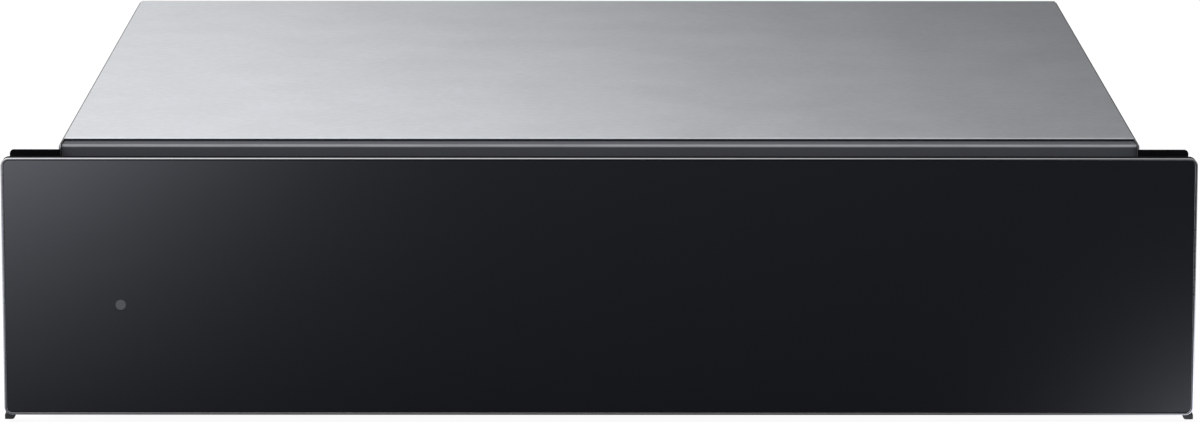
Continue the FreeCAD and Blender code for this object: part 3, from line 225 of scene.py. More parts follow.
def makeWorld():
    world, tree = blank(bpy.data.worlds, "studioWorld")
    fill = addNode(tree, "ShaderNodeBackground", {"Color": studio["skyFill"], "Strength": 1.0})
    white = addNode(tree, "ShaderNodeBackground", {"Color": gray(1), "Strength": 1.0})
    mix = addNode(tree, "ShaderNodeMixShader", {
        0: isLookedAt(tree), 1: fill.outputs[0], 2: white.outputs[0]})
    addNode(tree, "ShaderNodeOutputWorld", {"Surface": mix.outputs[0]})
    bpy.context.scene.world = world


def flatMesh(name, low, high):
    # level or upright rectangle between two opposite corners
    (x0, y0, z0), (x1, y1, z1) = low, high
    corners = [(x0, y0, z0), (x1, y1, z0), (x1, y1, z1), (x0, y0, z1)]
    if z0 == z1:
        corners = [(x0, y0, z0), (x1, y0, z0), (x1, y1, z0), (x0, y1, z0)]
    mesh = bpy.data.meshes.new(name)
    mesh.from_pydata(corners, [], [(0, 1, 2, 3)])
    return addObject(name, mesh)


def makeFloor():
    half = studio["floorHalf"]
    floor = flatMesh("floor", (-half, -half, 0), (half, half, 0))
    material, tree = blank(bpy.data.materials, "floorPaper")
    paper = addNode(tree, "ShaderNodeBsdfDiffuse", {"Color": studio["floorColor"]})
    glow = addNode(tree, "ShaderNodeEmission", {"Color": gray(1), "Strength": studio["floorGlow"]})
    both = addNode(tree, "ShaderNodeMixShader", {
        0: times(isLookedAt(tree), studio["floorShare"]), 1: paper.outputs[0], 2: glow.outputs[0]})
    addNode(tree, "ShaderNodeOutputMaterial", {"Surface": both.outputs[0]})
    floor.data.materials.append(material)
    floor.location.z = studio["floorLevel"]


lamps = {
    # name: (place, aim, size across and along, power in watts, tint)
    "keyLamp": ((-1.3, -0.9, 2.3), (0, 0, 0.07), (1.6, 1.2), 40, (1.0, 0.99, 0.97)),
    "fillLamp": ((1.2, -2.3, 0.9), (0, 0, 0.07), (1.4, 1.4), 16, (0.97, 0.98, 1.0)),
    "rearLamp": ((-0.5, 1.9, 2.2), (0, 0, 0.1), (2.0, 0.8), 16, (1.0, 1.0, 1.0)),
}


def makeLamps():
    for name, (place, aim, size, power, tint) in lamps.items():
        data = bpy.data.lights.new(name, "AREA")
        data.shape = "RECTANGLE"
        data.size, data.size_y = size
        data.energy = power
        data.color = tint
        lamp = addObject(name, data)
        lamp.location = place
        lamp.rotation_euler = (Vector(aim) - Vector(place)).to_track_quat("-Z", "Y").to_euler()
        lamp.visible_camera = lamp.visible_glossy = False


floorCard = {
    # graded card that lies in front of the glass and is seen only in reflections
    "xHalf": 1.2, "yFar": -2.4, "yNear": -0.2545, "height": 0.0006,
    "tint": (1.0, 1.03, 1.14, 1),
    "leftGain": 6.417, "leftX": -0.463, "leftTight": 0.195, "leftWideGain": 0.455,
    "leftWide": 0.672, "leftReach": 2.266, "leftPower": 1.222,
    "rightGain": 2.2, "rightX": 0.396, "rightTight": 0.102, "rightNear": 0.33, "rightFade": 7.2,
}
backCard = {
    # graded card behind the part, folded forward onto the floor
    "y": 1.6, "xHalf": 1.6, "zTop": 2.6, "yNear": 0.5, "pivot": 0.38, "limit": 0.9,
    "least": 0.05, "lowest": 0.24, "foot": 0.4,
    "levels": ((-0.46, 0.79), (-0.3, 0.57), (-0.12, 0.30), (0.06, 0.142), (0.22, 0.088),
               (0.36, 0.058), (0.48, 0.045)),
    "climbs": ((-0.45, 0.8), (0.0, 4.4), (0.45, 5.2)),
}
ceilingCard = {
    # overhead and in front, where the rounded front edges look
    "z": 1.4, "xHalf": 1.6, "yFront": -2.4, "yRear": 1.2,
    "levels": ((-0.5, 1.5), (-0.3, 1.25), (0.0, 0.90), (0.3, 0.66), (0.5, 0.48)),
}
sideCards = {
    # name: (x, level), both from yFront to yRear and up to zTop
    "cards": {"leftCard": (-1.3, 0.90), "rightCard": (1.3, 0.22)},
    "yFront": -2.4, "yRear": 1.6, "zTop": 1.3,
}


def bell(value, centre, width):
    offset = calc("DIVIDE", minus(value, centre), width)
    return calc("EXPONENT", times(times(offset, offset), -1.0))


def floorGrade(x, y, z):
    card = floorCard
    tight = times(bell(x, card["leftX"], card["leftTight"]), card["leftGain"])
    wide = times(bell(x, card["leftX"], card["leftWide"]), card["leftWideGain"])
    away = times(y, -1.0)
    reach = calc("POWER", calc("DIVIDE", away, card["leftReach"]), card["leftPower"])
    fade = calc("EXPONENT", times(minus(away, card["rightNear"]), -card["rightFade"]))
    right = times(bell(x, card["rightX"], card["rightTight"]), card["rightGain"])
    return plus(times(plus(tight, wide), reach), times(right, fade))


def backGrade(x, y, z):
    rise = minus(calc("MINIMUM", z, backCard["limit"]), backCard["pivot"])
    climb = times(rise, curved(x, backCard["climbs"]))
    level = times(curved(x, backCard["levels"]), calc("EXPONENT", climb))
    level = times(level, ranged(z, 0, backCard["lowest"], backCard["foot"], 1.0))
    return calc("MAXIMUM", level, backCard["least"])


def ceilingGrade(x, y, z):
    return curved(x, ceilingCard["levels"])


def makeCard(name, low, high, gradedBy, tint=gray(1)):
    card = flatMesh(name, low, high)
    material, tree = blank(bpy.data.materials, name + "Glow")
    level = gradedBy(*split(objectPoint(tree)))
    glow = addNode(tree, "ShaderNodeEmission", {"Color": tint, "Strength": level})
    addNode(tree, "ShaderNodeOutputMaterial", {"Surface": glow.outputs[0]})
    card.data.materials.append(material)
    card.visible_camera = card.visible_diffuse = card.visible_transmission = False
    card.visible_volume_scatter = card.visible_shadow = False


def makeCards():
    half, far, near, height = pick(floorCard, "xHalf", "yFar", "yNear", "height")
    makeCard("floorCard", (-half, far, height), (half, near, height), floorGrade, floorCard["tint"])
    y, half, top, near = pick(backCard, "y", "xHalf", "zTop", "yNear")
    makeCard("backCard", (-half, y, 0), (half, y, top), backGrade)
    makeCard("rearFloorCard", (-half, near, height), (half, y, height), backGrade)
    z, half, front, rear = pick(ceilingCard, "z", "xHalf", "yFront", "yRear")
    makeCard("ceilingCard", (-half, front, z), (half, rear, z), ceilingGrade)
    makeCard("frontCard", (-half, front, 0), (half, front, z), ceilingGrade)
    front, rear, top = pick(sideCards, "yFront", "yRear", "zTop")
    for name, (x, level) in sideCards["cards"].items():
        makeCard(name, (x, front, 0), (x, rear, top), lambda *place, level=level: level)


makeWorld()
makeFloor()
makeLamps()
makeCards()
print("studio ready")


# Shared surface effects: each rule takes its tree and its inputs and hands back its outputs
def makeGroup(rule, inputs):
    # one named input per value, tuples as vectors
    group = bpy.data.node_groups.new(rule.__name__, "ShaderNodeTree")
    for label, value in inputs.items():
        kind = "NodeSocketVector" if isinstance(value, tuple) else "NodeSocketFloat"
        group.interface.new_socket(label, in_out="INPUT", socket_type=kind).default_value = value
    results = rule(group, group.nodes.new("NodeGroupInput").outputs)
    for label in results:
        kind = "NodeSocketVector" if label == "Normal" else "NodeSocketFloat"
        group.interface.new_socket(label, in_out="OUTPUT", socket_type=kind)
    out = group.nodes.new("NodeGroupOutput").inputs
    for label, value in results.items():
        feed(value, out[label])
    return group


def strokes(group, given):
    # short parallel strokes; Stretch has strokes per metre along each axis
    point = objectPoint(group)
    stretched = vectorCalc("MULTIPLY", point, given["Stretch"])
    fine = noise(stretched, 1.0, 3.0, 0.62)
    coarse = noise(scaled(stretched, 0.31), 1.0)
    cloud = minus(noise(point, 24.0, 3.0, 0.55), 0.5)
    fleck = minus(noise(objectPoint(group, (240, 460, 460)), 1.0, 2.0, 0.6), 0.5)
    height = plus(times(fine, 0.65), times(coarse, 0.35))
    swing = minus(height, 0.5)
    shade = plus(times(swing, given["Tone"]), 1.0)
    drift = plus(times(cloud, given["Cloud"]), times(fleck, given["Fleck"]))
    return {"Shade": plus(shade, drift),
            "Scatter": times(plus(swing, times(cloud, 0.4)), given["Scatter"]),
            "Normal": bumped(height, given["Depth"])}


def edgeRubAndHighlight(group, given):
    # lighter tint along corners, broken up by noise: partly rubbed wear, partly a painted highlight
    # where edges catch light
    bevel = addNode(group, "ShaderNodeBevel", {"Radius": given["Width"]}, samples=4).outputs[0]
    bent = ranged(minus(1.0, vectorCalc("DOT_PRODUCT", bevel, normalOf(group))), 0.02, 0.2)
    broken = ranged(noise(objectPoint(group), 140.0, 4.0, 0.6), 0.38, 0.62)
    return {"Mask": times(times(bent, broken), given["Amount"])}


def dustFilm(group, given):
    # thin film that gathers on faces that look up
    patches = noise(objectPoint(group), given["Scale"], 5.0, 0.65)
    up = split(normalOf(group))[2]
    film = times(ranged(patches, 0.35, 0.75), ranged(up, -0.2, 0.9, 0.25, 1.0))
    return {"Mask": times(film, given["Amount"])}


def pebbles(group, given):
    # skin of moulded or powder-coated surfaces
    point = objectPoint(group)
    pebble = noise(point, given["Scale"])
    swing = plus(times(minus(pebble, 0.5), 0.6), minus(noise(point, 22.0, 3.0, 0.55), 0.5))
    return {"Shade": plus(times(swing, given["Tone"]), 1.0), "Scatter": times(swing, 0.16),
            "Normal": bumped(pebble, given["Depth"])}


def paintedLightByFacing(group, given):
    # faces that look one way take painted light or shade: a painted highlight along a fold, painted
    # shade on bends and on the flat face of a bead, broken into patches
    x, y, z = split(normalOf(group))
    facing = vectorCalc("DOT_PRODUCT", vector(calc("ABSOLUTE", x), y, z), given["Facing"])
    band = ranged(facing, given["Low"], given["High"])
    patches = noise(objectPoint(group, (30, 600, 600)), 1.0, 3.0, 0.6)
    gapsInPaintedTint = times(ranged(patches, 0.2, 0.6, 1.0, 0.0), given["Patches"])
    return {"Mask": times(times(band, minus(1.0, gapsInPaintedTint)), given["Amount"])}


brushing = makeGroup(strokes, {"Stretch": (14, 1600, 1600), "Tone": 0.1, "Depth": 0.2,
                               "Fleck": 0.0, "Cloud": 0.05, "Scatter": 0.25})
edgeWearAndHighlight = makeGroup(edgeRubAndHighlight, {"Width": 0.0005, "Amount": 0.6})
dust = makeGroup(dustFilm, {"Amount": 0.1, "Scale": 60.0})
grain = makeGroup(pebbles, {"Scale": 1800.0, "Depth": 0.2, "Tone": 0.1})
# mask for painted light: by default faces that look up and forward, where a fold takes a painted
# highlight
paintedFacingLightMask = makeGroup(paintedLightByFacing, {"Facing": (0, -0.7071, 0.7071), "Low": 0.80, "High": 0.985,
                                "Patches": 0.3, "Amount": 0.85})


def placeGroup(tree, group, values=None):
    return addNode(tree, "ShaderNodeGroup", values, node_tree=group).outputs


# Materials
def startMaterial(name, settings):
    material, tree = blank(bpy.data.materials, name)
    shader = addNode(tree, "ShaderNodeBsdfPrincipled", settings)
    addNode(tree, "ShaderNodeOutputMaterial", {"Surface": shader.outputs[0]})
    return material, tree, shader.inputs


skins = {
    # width of edges with rubbed wear and painted highlight, dust patches per metre, gray of dust,
    # roughness it adds
    "metal": {"edge": 0.0005, "patches": 45.0, "film": 0.34, "matt": 0.5},
    "coat": {"edge": 0.0004, "patches": 70.0, "film": 0.30, "matt": 0.6},
}
facings = {
    # key of a look: the faces that take its tint of painted light or shade
    # bend: painted shade on bends that look up and out to the side
    "bend": {"Facing": (0.7071, 0, 0.7071), "Low": 0.72, "High": 0.93},
    # face: painted shade on flat faces that look straight ahead
    "face": {"Facing": (0, -1, 0), "Low": 0.97, "High": 0.995, "Patches": 0.1, "Amount": 1.0},
    # last entry: painted highlight on faces that look up and forward
    "fold": {},
}


def layered(name, settings, group, values, look, skin):
    # strokes or grain, edges rubbed and given a painted highlight, a film of dust, then painted
    # light or shade on faces that look one way
    material, tree, inputs = startMaterial(name, settings)
    under = placeGroup(tree, group, {"Tone": look["tone"], "Depth": look["depth"], **values})
    edge = look.get("edge", skin["edge"])
    wear = placeGroup(tree, edgeWearAndHighlight, {"Width": edge, "Amount": look["wear"]})["Mask"]
    film = placeGroup(tree, dust, {"Amount": look["dust"], "Scale": skin["patches"]})["Mask"]
    # edges take a lighter tint: partly rubbed wear, partly painted highlight
    color = mixColor(wear, scaled(look["color"], under["Shade"]), look["rub"])
    color = mixColor(film, color, gray(skin["film"]))
    # painted light and shade on faces by the way they look
    for key, facing in facings.items():
        if key in look:
            color = mixColor(placeGroup(tree, paintedFacingLightMask, facing)["Mask"], color, look[key])
    rough = plus(under["Scatter"], look["rough"])
    feed(color, inputs["Base Color"])
    feed(plus(rough, times(film, skin["matt"]), clamp=True), inputs["Roughness"])
    feed(under["Normal"], inputs["Normal"])
    return material


def brushedMetal(name, look):
    # grazing: tint of the reflection near the outline, darker where an oxide film dulls it
    settings = {"Metallic": 1.0, "Specular Tint": look.get("grazing", gray(1.0))}
    values = {"Stretch": look["pattern"], "Fleck": look.get("fleck", 0.1),
              "Cloud": look.get("cloud", 0.06), "Scatter": look.get("scatter", 0.25)}
    return layered(name, settings, brushing, values, look, skins["metal"])


def coatedSurface(name, look):
    # powder coat, moulded plastic and rubber: one recipe with its own values
    settings = {"Metallic": look.get("metallic", 0.0), "IOR": 1.5,
                "Specular IOR Level": look.get("specular", 0.5)}
    return layered(name, settings, grain, {"Scale": look["pattern"]}, look, skins["coat"])


def blackGlass(name, look):
    # back-printed glass: near black, with faint wipe marks in the gloss and a few dust specks
    material, tree, inputs = startMaterial(name, {"IOR": look["ior"], "Specular IOR Level": 0.5})
    point = objectPoint(tree)
    wipes = noise(objectPoint(tree, (3, 1, 9), (0, 0.5, 0)), 4.0, 4.0, 0.6, 0.8)
    specks = addNode(tree, "ShaderNodeTexVoronoi", {"Vector": point, "Scale": 210.0})
    speck = calc("LESS_THAN", specks.outputs["Distance"], look["speck"])
    shade = plus(times(minus(noise(point, 320.0), 0.5), look["tone"]), 1.0)
    color = mixColor(times(speck, 0.2), scaled(look["color"], shade), gray(0.12))
    feed(color, inputs["Base Color"])
    rough = ranged(wipes, 0.35, 0.7, look["rough"], look["rough"] + 0.05)
    feed(plus(rough, times(speck, 0.3)), inputs["Roughness"])
    return material


def galvanised(name, look):
    # zinc spangle: flat crystals of slightly different gray
    material, tree, inputs = startMaterial(name, {"Metallic": 1.0})
    point = objectPoint(tree)
    crystals = addNode(tree, "ShaderNodeTexVoronoi", {"Vector": point, "Scale": look["spangle"]})
    tone = addNode(tree, "ShaderNodeSeparateColor", {0: crystals.outputs["Color"]}).outputs[0]
    cloud = minus(noise(point, 16.0, 3.0, 0.6), 0.5)
    film = placeGroup(tree, dust, {"Amount": look["dust"], "Scale": 50.0})["Mask"]
    shade = plus(ranged(tone, 0, 1, 0.94, 1.05, "LINEAR"), times(cloud, 0.25))
    rough = ranged(tone, 0, 1, look["rough"] - 0.03, look["rough"] + 0.04, "LINEAR")
    feed(mixColor(film, scaled(look["color"], shade), gray(0.3)), inputs["Base Color"])
    feed(rough, inputs["Roughness"])
    feed(bumped(tone, 0.03, 0.0002), inputs["Normal"])
    return material


along = {"x": (16, 1500, 1500), "y": (1500, 16, 1500)}
lookKeys = ("color", "rub", "rough", "tone", "depth", "wear", "dust", "pattern")
metalLooks = {
    # name: (the lookKeys in turn, with strokes per metre as pattern), other values
    "stainless_brushed": (((0.62, 0.64, 0.675), (0.8, 0.81, 0.83, 1), 0.31, 0.10, 0.08, 0.3, 0.0,
                           along["x"]), {"fleck": 0.30, "cloud": 0.14, "scatter": 0.05}),
    # stainless: its bend tint is painted shade along the walls' top bends
    "stainless": (((0.60, 0.605, 0.61), (0.8, 0.8, 0.81, 1), 0.30, 0.2, 0.12, 0.4, 0.05,
                   along["y"]), {"bend": (0.20, 0.205, 0.21, 1), "grazing": gray(0.35)}),
    # bright_trim: its face tint is painted shade on the lip's flat front face
    "bright_trim": (((0.60, 0.605, 0.62), (0.7, 0.7, 0.71, 1), 0.30, 0.08, 0.05, 0.0, 0.01,
                     along["x"]), {"edge": 0.0002, "face": (0.10, 0.101, 0.105, 1),
                                   "grazing": gray(0.4)}),
    "fasteners": (((0.56, 0.56, 0.55), gray(0.8), 0.34, 0.2, 0.1, 0.5, 0.05, (900, 900, 900)),
                  {"edge": 0.0002}),
    "slide_steel": (((0.57, 0.575, 0.58), (0.78, 0.78, 0.79, 1), 0.32, 0.25, 0.1, 0.6, 0.05,
                     along["y"]), {}),
    "copper": (((0.60, 0.30, 0.16), (0.8, 0.5, 0.3, 1), 0.4, 0.5, 0.5, 0.2, 0.05,
                (700, 700, 700)), {}),
    "brass": (((0.66, 0.50, 0.24), (0.85, 0.7, 0.4, 1), 0.34, 0.2, 0.1, 0.3, 0.05,
               (900, 900, 900)), {}),
    "element_sheath": (((0.25, 0.22, 0.20), (0.4, 0.36, 0.33, 1), 0.48, 0.5, 0.15, 0.2, 0.1,
                        (120, 120, 120)), {}),
}
coatLooks = {
    # the same with grains per metre as pattern
    # dark_steel: its last tint is a painted highlight along the crossbar's upper fold
    "dark_steel": (((0.062, 0.065, 0.074), gray(0.2), 0.60, 0.16, 0.1, 0.1, 0.0, 1400),
                   {"specular": 0.1, "fold": (0.31, 0.315, 0.325, 1)}),
    "black_steel": (((0.004, 0.004, 0.0048), gray(0.03), 0.8, 0.3, 0.25, 0.15, 0.006, 1500),
                    {"specular": 0.008}),
    "black_plastic": (((0.012, 0.012, 0.013), gray(0.05), 0.5, 0.25, 0.3, 0.3, 0.02, 2600), {}),
    "white_plastic": (((0.72, 0.71, 0.67), gray(0.8), 0.4, 0.06, 0.1, 0.2, 0.05, 900), {}),
    "knob_plastic": (((0.028, 0.028, 0.031), gray(0.12), 0.3, 0.15, 0.12, 0.4, 0.02, 2200), {}),
    "rubber": (((0.022, 0.022, 0.023), gray(0.06), 0.72, 0.3, 0.35, 0.3, 0.08, 1300), {}),
    "motor_steel": (((0.22, 0.225, 0.23), gray(0.4), 0.45, 0.3, 0.2, 0.5, 0.1, 700),
                    {"metallic": 0.6}),
    "circuit_board": (((0.012, 0.085, 0.035), (0.05, 0.2, 0.1, 1), 0.3, 0.3, 0.1, 0.2, 0.05, 500),
                      {}),
    "lens": (((0.058, 0.060, 0.064), gray(0.15), 0.5, 0.1, 0.1, 0.1, 0.0, 1800), {}),
}
glassLook = {"color": (0.0080, 0.0086, 0.0108), "ior": 1.5, "rough": 0.03, "tone": 0.08,
             "speck": 0.010}
zincLook = {"color": (0.47, 0.48, 0.495), "rough": 0.42, "spangle": 95.0, "dust": 0.06}


def makeMaterials():
    made = {}
    for recipe, looks in ((brushedMetal, metalLooks), (coatedSurface, coatLooks)):
        for name, (row, others) in looks.items():
            made[name] = recipe(name, {**dict(zip(lookKeys, row)), **others})
    made["black_glass"] = blackGlass("black_glass", glassLook)
    made["galvanised_sheet"] = galvanised("galvanised_sheet", zincLook)
    return made


materials = makeMaterials()
record = frame["record"]
bodyOf = {node: body for body, group in record["behaviour"]["bodies"].items() for node in group}
finishOf = {part["node"]: part["material_slot"] for part in record["subparts"]}

for node, finish in finishOf.items():
    nodes[node].data.materials.clear()
    nodes[node].data.materials.append(materials[finish])
print("materials ready:", len(materials))


# Pieces. Sizes are in metres; every piece keeps its place in its mesh.
def evaluatedCopy(piece):
    graph = bpy.context.evaluated_depsgraph_get()
    graph.update()
    return bpy.data.meshes.new_from_object(piece.evaluated_get(graph), depsgraph=graph)


def addPiece(name, mesh, finish, body, replaced=(), smoothBelow=35):
    mesh.name = name
    mesh.shade_smooth()
    mesh.set_sharp_from_angle(angle=math.radians(smoothBelow))
    mesh.materials.clear()
    mesh.materials.append(materials[finish])
    piece = addObject(name, mesh)
    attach(piece, body)
    if replaced:
        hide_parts(*replaced)
    return piece


def standIn(name, mesh, node, smoothBelow=35):
    return addPiece(name, mesh, finishOf[node], bodyOf[node], (node,), smoothBelow)


def meshFrom(work):
    mesh = bpy.data.meshes.new("made")
    work.to_mesh(mesh)
    work.free()
    return mesh


def tidyMesh(work):
    bmesh.ops.remove_doubles(work, verts=work.verts, dist=1e-7)
    bmesh.ops.recalc_face_normals(work, faces=work.faces)
    return meshFrom(work)


def joinedMesh(parts):
    work = bmesh.new()
    for part in parts:
        work.from_mesh(part)
    return meshFrom(work)


def middleOf(low, high):
    # where an axis along Y meets the plane y = 0
    return ((low.x + high.x) / 2, 0, (low.z + high.z) / 2)


def arc(x, level, z, radius, start, sweep, steps):
    # points round an axis along Y, from a start and over a sweep in degrees
    turns = [math.radians(start + sweep * step / steps) for step in range(steps + 1)]
    return [(x + radius * math.cos(turn), level, z + radius * math.sin(turn)) for turn in turns]


def wave(count, turn):
    # runs from 1 down to 0 and back, so many times round
    return 0.5 + 0.5 * math.cos(count * turn)


def lofted(sections, closed=True):
    # skin through loops of points: the last joins the first, or both ends get a face
    work = bmesh.new()
    loops = [[work.verts.new(point) for point in section] for section in sections]
    for here, there in zip(loops, loops[1:] + (loops[:1] if closed else [])):
        for index in range(len(here)):
            follower = (index + 1) % len(here)
            work.faces.new((here[index], here[follower], there[follower], there[index]))
    if not closed:
        for loop in (loops[0], loops[-1]):
            work.faces.new(loop)
    return tidyMesh(work)


def turned(profile, centre, steps=48, closed=False, ripple=lambda turn, along: 0):
    # profile: (along Y, radius) pairs turned round Y; ripple is added to the radius
    sections = []
    for along, radius in profile:
        section = []
        for step in range(steps):
            turn = 2 * math.pi * step / steps
            reach = radius + ripple(turn, along)
            offset = Vector((reach * math.cos(turn), along, reach * math.sin(turn)))
            section.append(Vector(centre) + offset)
        sections.append(section)
    return lofted(sections, closed)


pinhole = 0.00001    # radius of the ring that closes a cap on its axis


def profileOf(*runs):
    # each run: a level along Y, then pairs of distance from it and radius
    return [(level + step, radius) for level, *pairs in runs for step, radius in pairs]


def washer(start, end, inner, outer):
    return [(start, inner), (start, outer), (end, outer), (end, inner)]


def curveMesh(curve):
    carrier = addObject("carrier", curve)
    mesh = evaluatedCopy(carrier)
    bpy.data.objects.remove(carrier)
    return mesh


def wireMesh(radius, resolution, paths, caps=False):
    curve = bpy.data.curves.new("wire", "CURVE")
    curve.dimensions = "3D"
    curve.bevel_depth, curve.bevel_resolution, curve.use_fill_caps = radius, resolution, caps
    for path in paths:
        spline = curve.splines.new("POLY")
        spline.points.add(len(path) - 1)
        for point, spot in zip(spline.points, path):
            point.co = (*spot, 1)
    return curveMesh(curve)


brokenEdges = {
    # folded and cut sheet, moulded cases: node, piece and the rounding of its edges in mm;
    # a star stands for left and right
    "top_cover": ("coverSheet", 0.15), "front_crossbar_top": ("upperCrossbar", 0.12),
    "front_crossbar_bottom": ("lowerCrossbar", 0.12), "side_wall_*": ("*Wall", 0.12),
    "side_flange_*": ("*Flange", 0.2), "bottom_plate": ("floorPlate", 0.12),
    "rear_wall": ("rearSheet", 0.12), "rear_spacers": ("standOffs", 0.15),
    "slide_outer_*": ("*Rail", 0.25), "slide_middle_*": ("*Carrier", 0.25),
    "slide_inner_*": ("*Runner", 0.25), "drawer_floor": ("drawerBase", 0.1),
    "drawer_side_*": ("*Side", 0.15), "drawer_rear_wall": ("drawerBack", 0.12),
    "drawer_inner_front": ("innerFront", 0.2), "panel_foot_*": ("*Foot", 0.35),
    "control_box": ("controlCase", 0.4), "control_fascia": ("fasciaPlate", 0.3),
    "fan_plate": ("fanSheet", 0.15), "fan_guard": ("fanPan", 0.12),
    "motor_bracket": ("motorRing", 0.2), "latch_housing": ("latchCase", 0.5),
    "latch_pin": ("latchPlunger", 0.2), "latch_striker": ("strikerPlate", 0.3),
    "safety_thermostat": ("heatCutOut", 0.2),
}


def brokenEdgeCopy(node, name, width):
    work = bmesh.new()
    work.from_mesh(nodes[node].data)
    bmesh.ops.remove_doubles(work, verts=work.verts, dist=2e-6)
    bmesh.ops.dissolve_limit(work, angle_limit=math.radians(0.4), verts=work.verts,
                             edges=work.edges)
    raw = addObject(name + "Blank", meshFrom(work))
    bevel = raw.modifiers.new("edges", "BEVEL")
    bevel.width, bevel.segments = width * 0.001, 2
    bevel.limit_method, bevel.angle_limit = "ANGLE", math.radians(40)
    rounded = evaluatedCopy(raw)
    bpy.data.objects.remove(raw)
    piece = standIn(name, rounded, node, smoothBelow=48)
    piece.modifiers.new("flatFaces", "WEIGHTED_NORMAL").keep_sharp = True


for node, (name, width) in brokenEdges.items():
    for side in ("left", "right") if "*" in node else ("",):
        brokenEdgeCopy(node.replace("*", side), name.replace("*", side), width)
print("sheet pieces ready")


lip = {
    # outer roundings reach further across at both sides than along the top and bottom
    "corner": 0.004, "wide": 0.0011, "wideAside": 0.00138, "round": 0.0005, "stretch": 1.6,
    "inner": 0.00012, "lowered": 0.0002, "draft": 0.0003, "steps": 6, "cornerSteps": 14,
    "leastCorner": 0.0002,
}


def cornerLoop(box, inset, aside, level):
    # rounded rectangle in the plane of the front, counted round once
    low, high = box
    bend = max(lip["corner"] - inset, lip["leastCorner"])
    left, right = low.x + aside + bend, high.x - aside - bend
    bottom, top = low.z + inset + bend, high.z - inset - bend
    corners = ((right, bottom, -90), (right, top, 0), (left, top, 90), (left, bottom, 180))
    return [point for x, z, start in corners
            for point in arc(x, level, z, bend, start, 90, lip["cornerSteps"])]


def rounding(radius, turns):
    # inset and depth along a quarter round that starts at the side
    return [(radius * (1 - math.cos(turn)), radius * (1 - math.sin(turn)))
            for turn in map(math.radians, turns)]


def makeLip():
    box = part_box("front_trim")
    front, back = box[0].y, box[1].y
    outside = (box[0], box[1] - Vector((0, 0, lip["lowered"])))
    wide, aside, draft, steps = pick(lip, "wide", "wideAside", "draft", "steps")
    outer = rounding(lip["round"], [90 * step / steps for step in range(steps + 1)])
    inner = rounding(lip["inner"], (90, 45, 0))
    loops = [cornerLoop(outside, inset, inset * lip["stretch"], front + deep)
             for inset, deep in outer]
    loops += [cornerLoop(box, wide - inset, aside - inset, front + deep) for inset, deep in inner]
    loops += [cornerLoop(box, wide, aside, back), cornerLoop(outside, draft, draft, back)]
    standIn("frontLip", lofted(loops), "front_trim", smoothBelow=40)


indicator = {"radius": 0.0027, "dish": 0.00008, "rim": 0.0002, "collar": 0.0045,
             "collarDeep": 0.0014}


def makeIndicator():
    low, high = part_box("indicator_lens")
    radius, dish, rim, collar, deep = indicator.values()
    profile = profileOf(
        (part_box("front_glass")[0].y, (dish + 0.0001, pinhole), (dish, radius * 0.6),
         (0.00002, radius - rim), (0.0001, radius - 0.00005), (rim, radius)),
        (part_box("panel_backing")[1].y, (0, radius), (0, collar - 0.0002), (0.0002, collar),
         (deep, collar), (deep, radius)),
        (high.y, (-0.0003, radius), (0, radius - 0.0003), (0, pinhole)))
    standIn("indicatorGuide", turned(profile, middleOf(low, high), steps=40), "indicator_lens")


makeLip()
makeIndicator()
print("front ready")


# Geometry Nodes: each rule takes its tree and its inputs and hands back a geometry socket
trees = {}


def geometry(tree, kind, values=None, **settings):
    return addNode(tree, "GeometryNode" + kind, values, **settings).outputs[0]


def makeTree(rule, values):
    tree = bpy.data.node_groups.new(rule.__name__, "GeometryNodeTree")
    kinds = {label: "Int" if isinstance(value, int) else "Float" for label, value in values.items()}
    for label, kind in {"Geometry": "Geometry", **kinds, "Finish": "Material"}.items():
        tree.interface.new_socket(label, in_out="INPUT", socket_type="NodeSocket" + kind)
    tree.interface.new_socket("Geometry", in_out="OUTPUT", socket_type="NodeSocketGeometry")
    given = tree.nodes.new("NodeGroupInput").outputs
    solid = geometry(tree, "RealizeInstances", {"Geometry": rule(tree, given)})
    coated = geometry(tree, "SetMaterial", {"Geometry": solid, "Material": given["Finish"]})
    feed(coated, tree.nodes.new("NodeGroupOutput").inputs[0])
    return tree


def grow(rule, finish, values, base=None):
    # plain mesh of a rule over the base points, with one named input per value
    if rule not in trees:
        trees[rule] = makeTree(rule, values)
    host = addObject("host", base or bpy.data.meshes.new("host"))
    modifier = host.modifiers.new("shape", "NODES")
    modifier.node_group = trees[rule]
    values = {**values, "Finish": materials[finish]}
    for item in trees[rule].interface.items_tree:
        if item.item_type == "SOCKET" and item.in_out == "INPUT" and item.name in values:
            modifier[item.identifier] = values[item.name]
    mesh = evaluatedCopy(host)
    host.modifiers.clear()
    bpy.data.objects.remove(host)
    return mesh


def swept(rail, outline):
    return geometry(rail.id_data, "CurveToMesh", {
        "Curve": rail, "Profile Curve": outline, "Fill Caps": True})


def prism(tree, outline, low, high):
    # closed prism between two heights of Z
    ends = {"Start": vector(0.0, 0.0, low), "End": vector(0.0, 0.0, high)}
    return swept(geometry(tree, "CurvePrimitiveLine", ends), outline)


def roundedPlate(tree, given, across, up, corners, thick):
    outline = geometry(tree, "CurvePrimitiveQuadrilateral", {
        "Width": given[across], "Height": given[up]})
    rounded = geometry(tree, "FilletCurve", {
        "Curve": outline, "Count": corners, "Radius": given["Corner"]}, mode="POLY")
    return prism(tree, rounded, 0.0, given[thick])


def joinedShape(first, second):
    whole = geometry(first.id_data, "JoinGeometry", {0: first})
    feed(second, whole.node.inputs[0])
    return whole


def copies(points, shape, **values):
    given = {"Points": points, "Instance": shape, **values}
    return geometry(shape.id_data, "InstanceOnPoints", given)


def ringed(count, divisor, sweep, shape):
    # copies of a shape turned round Z by even steps
    tree = shape.id_data
    spots = geometry(tree, "Points", {"Count": count})
    turn = times(calc("DIVIDE", geometry(tree, "InputIndex"), divisor), sweep)
    return copies(spots, shape, Rotation=vector(0.0, 0.0, turn))


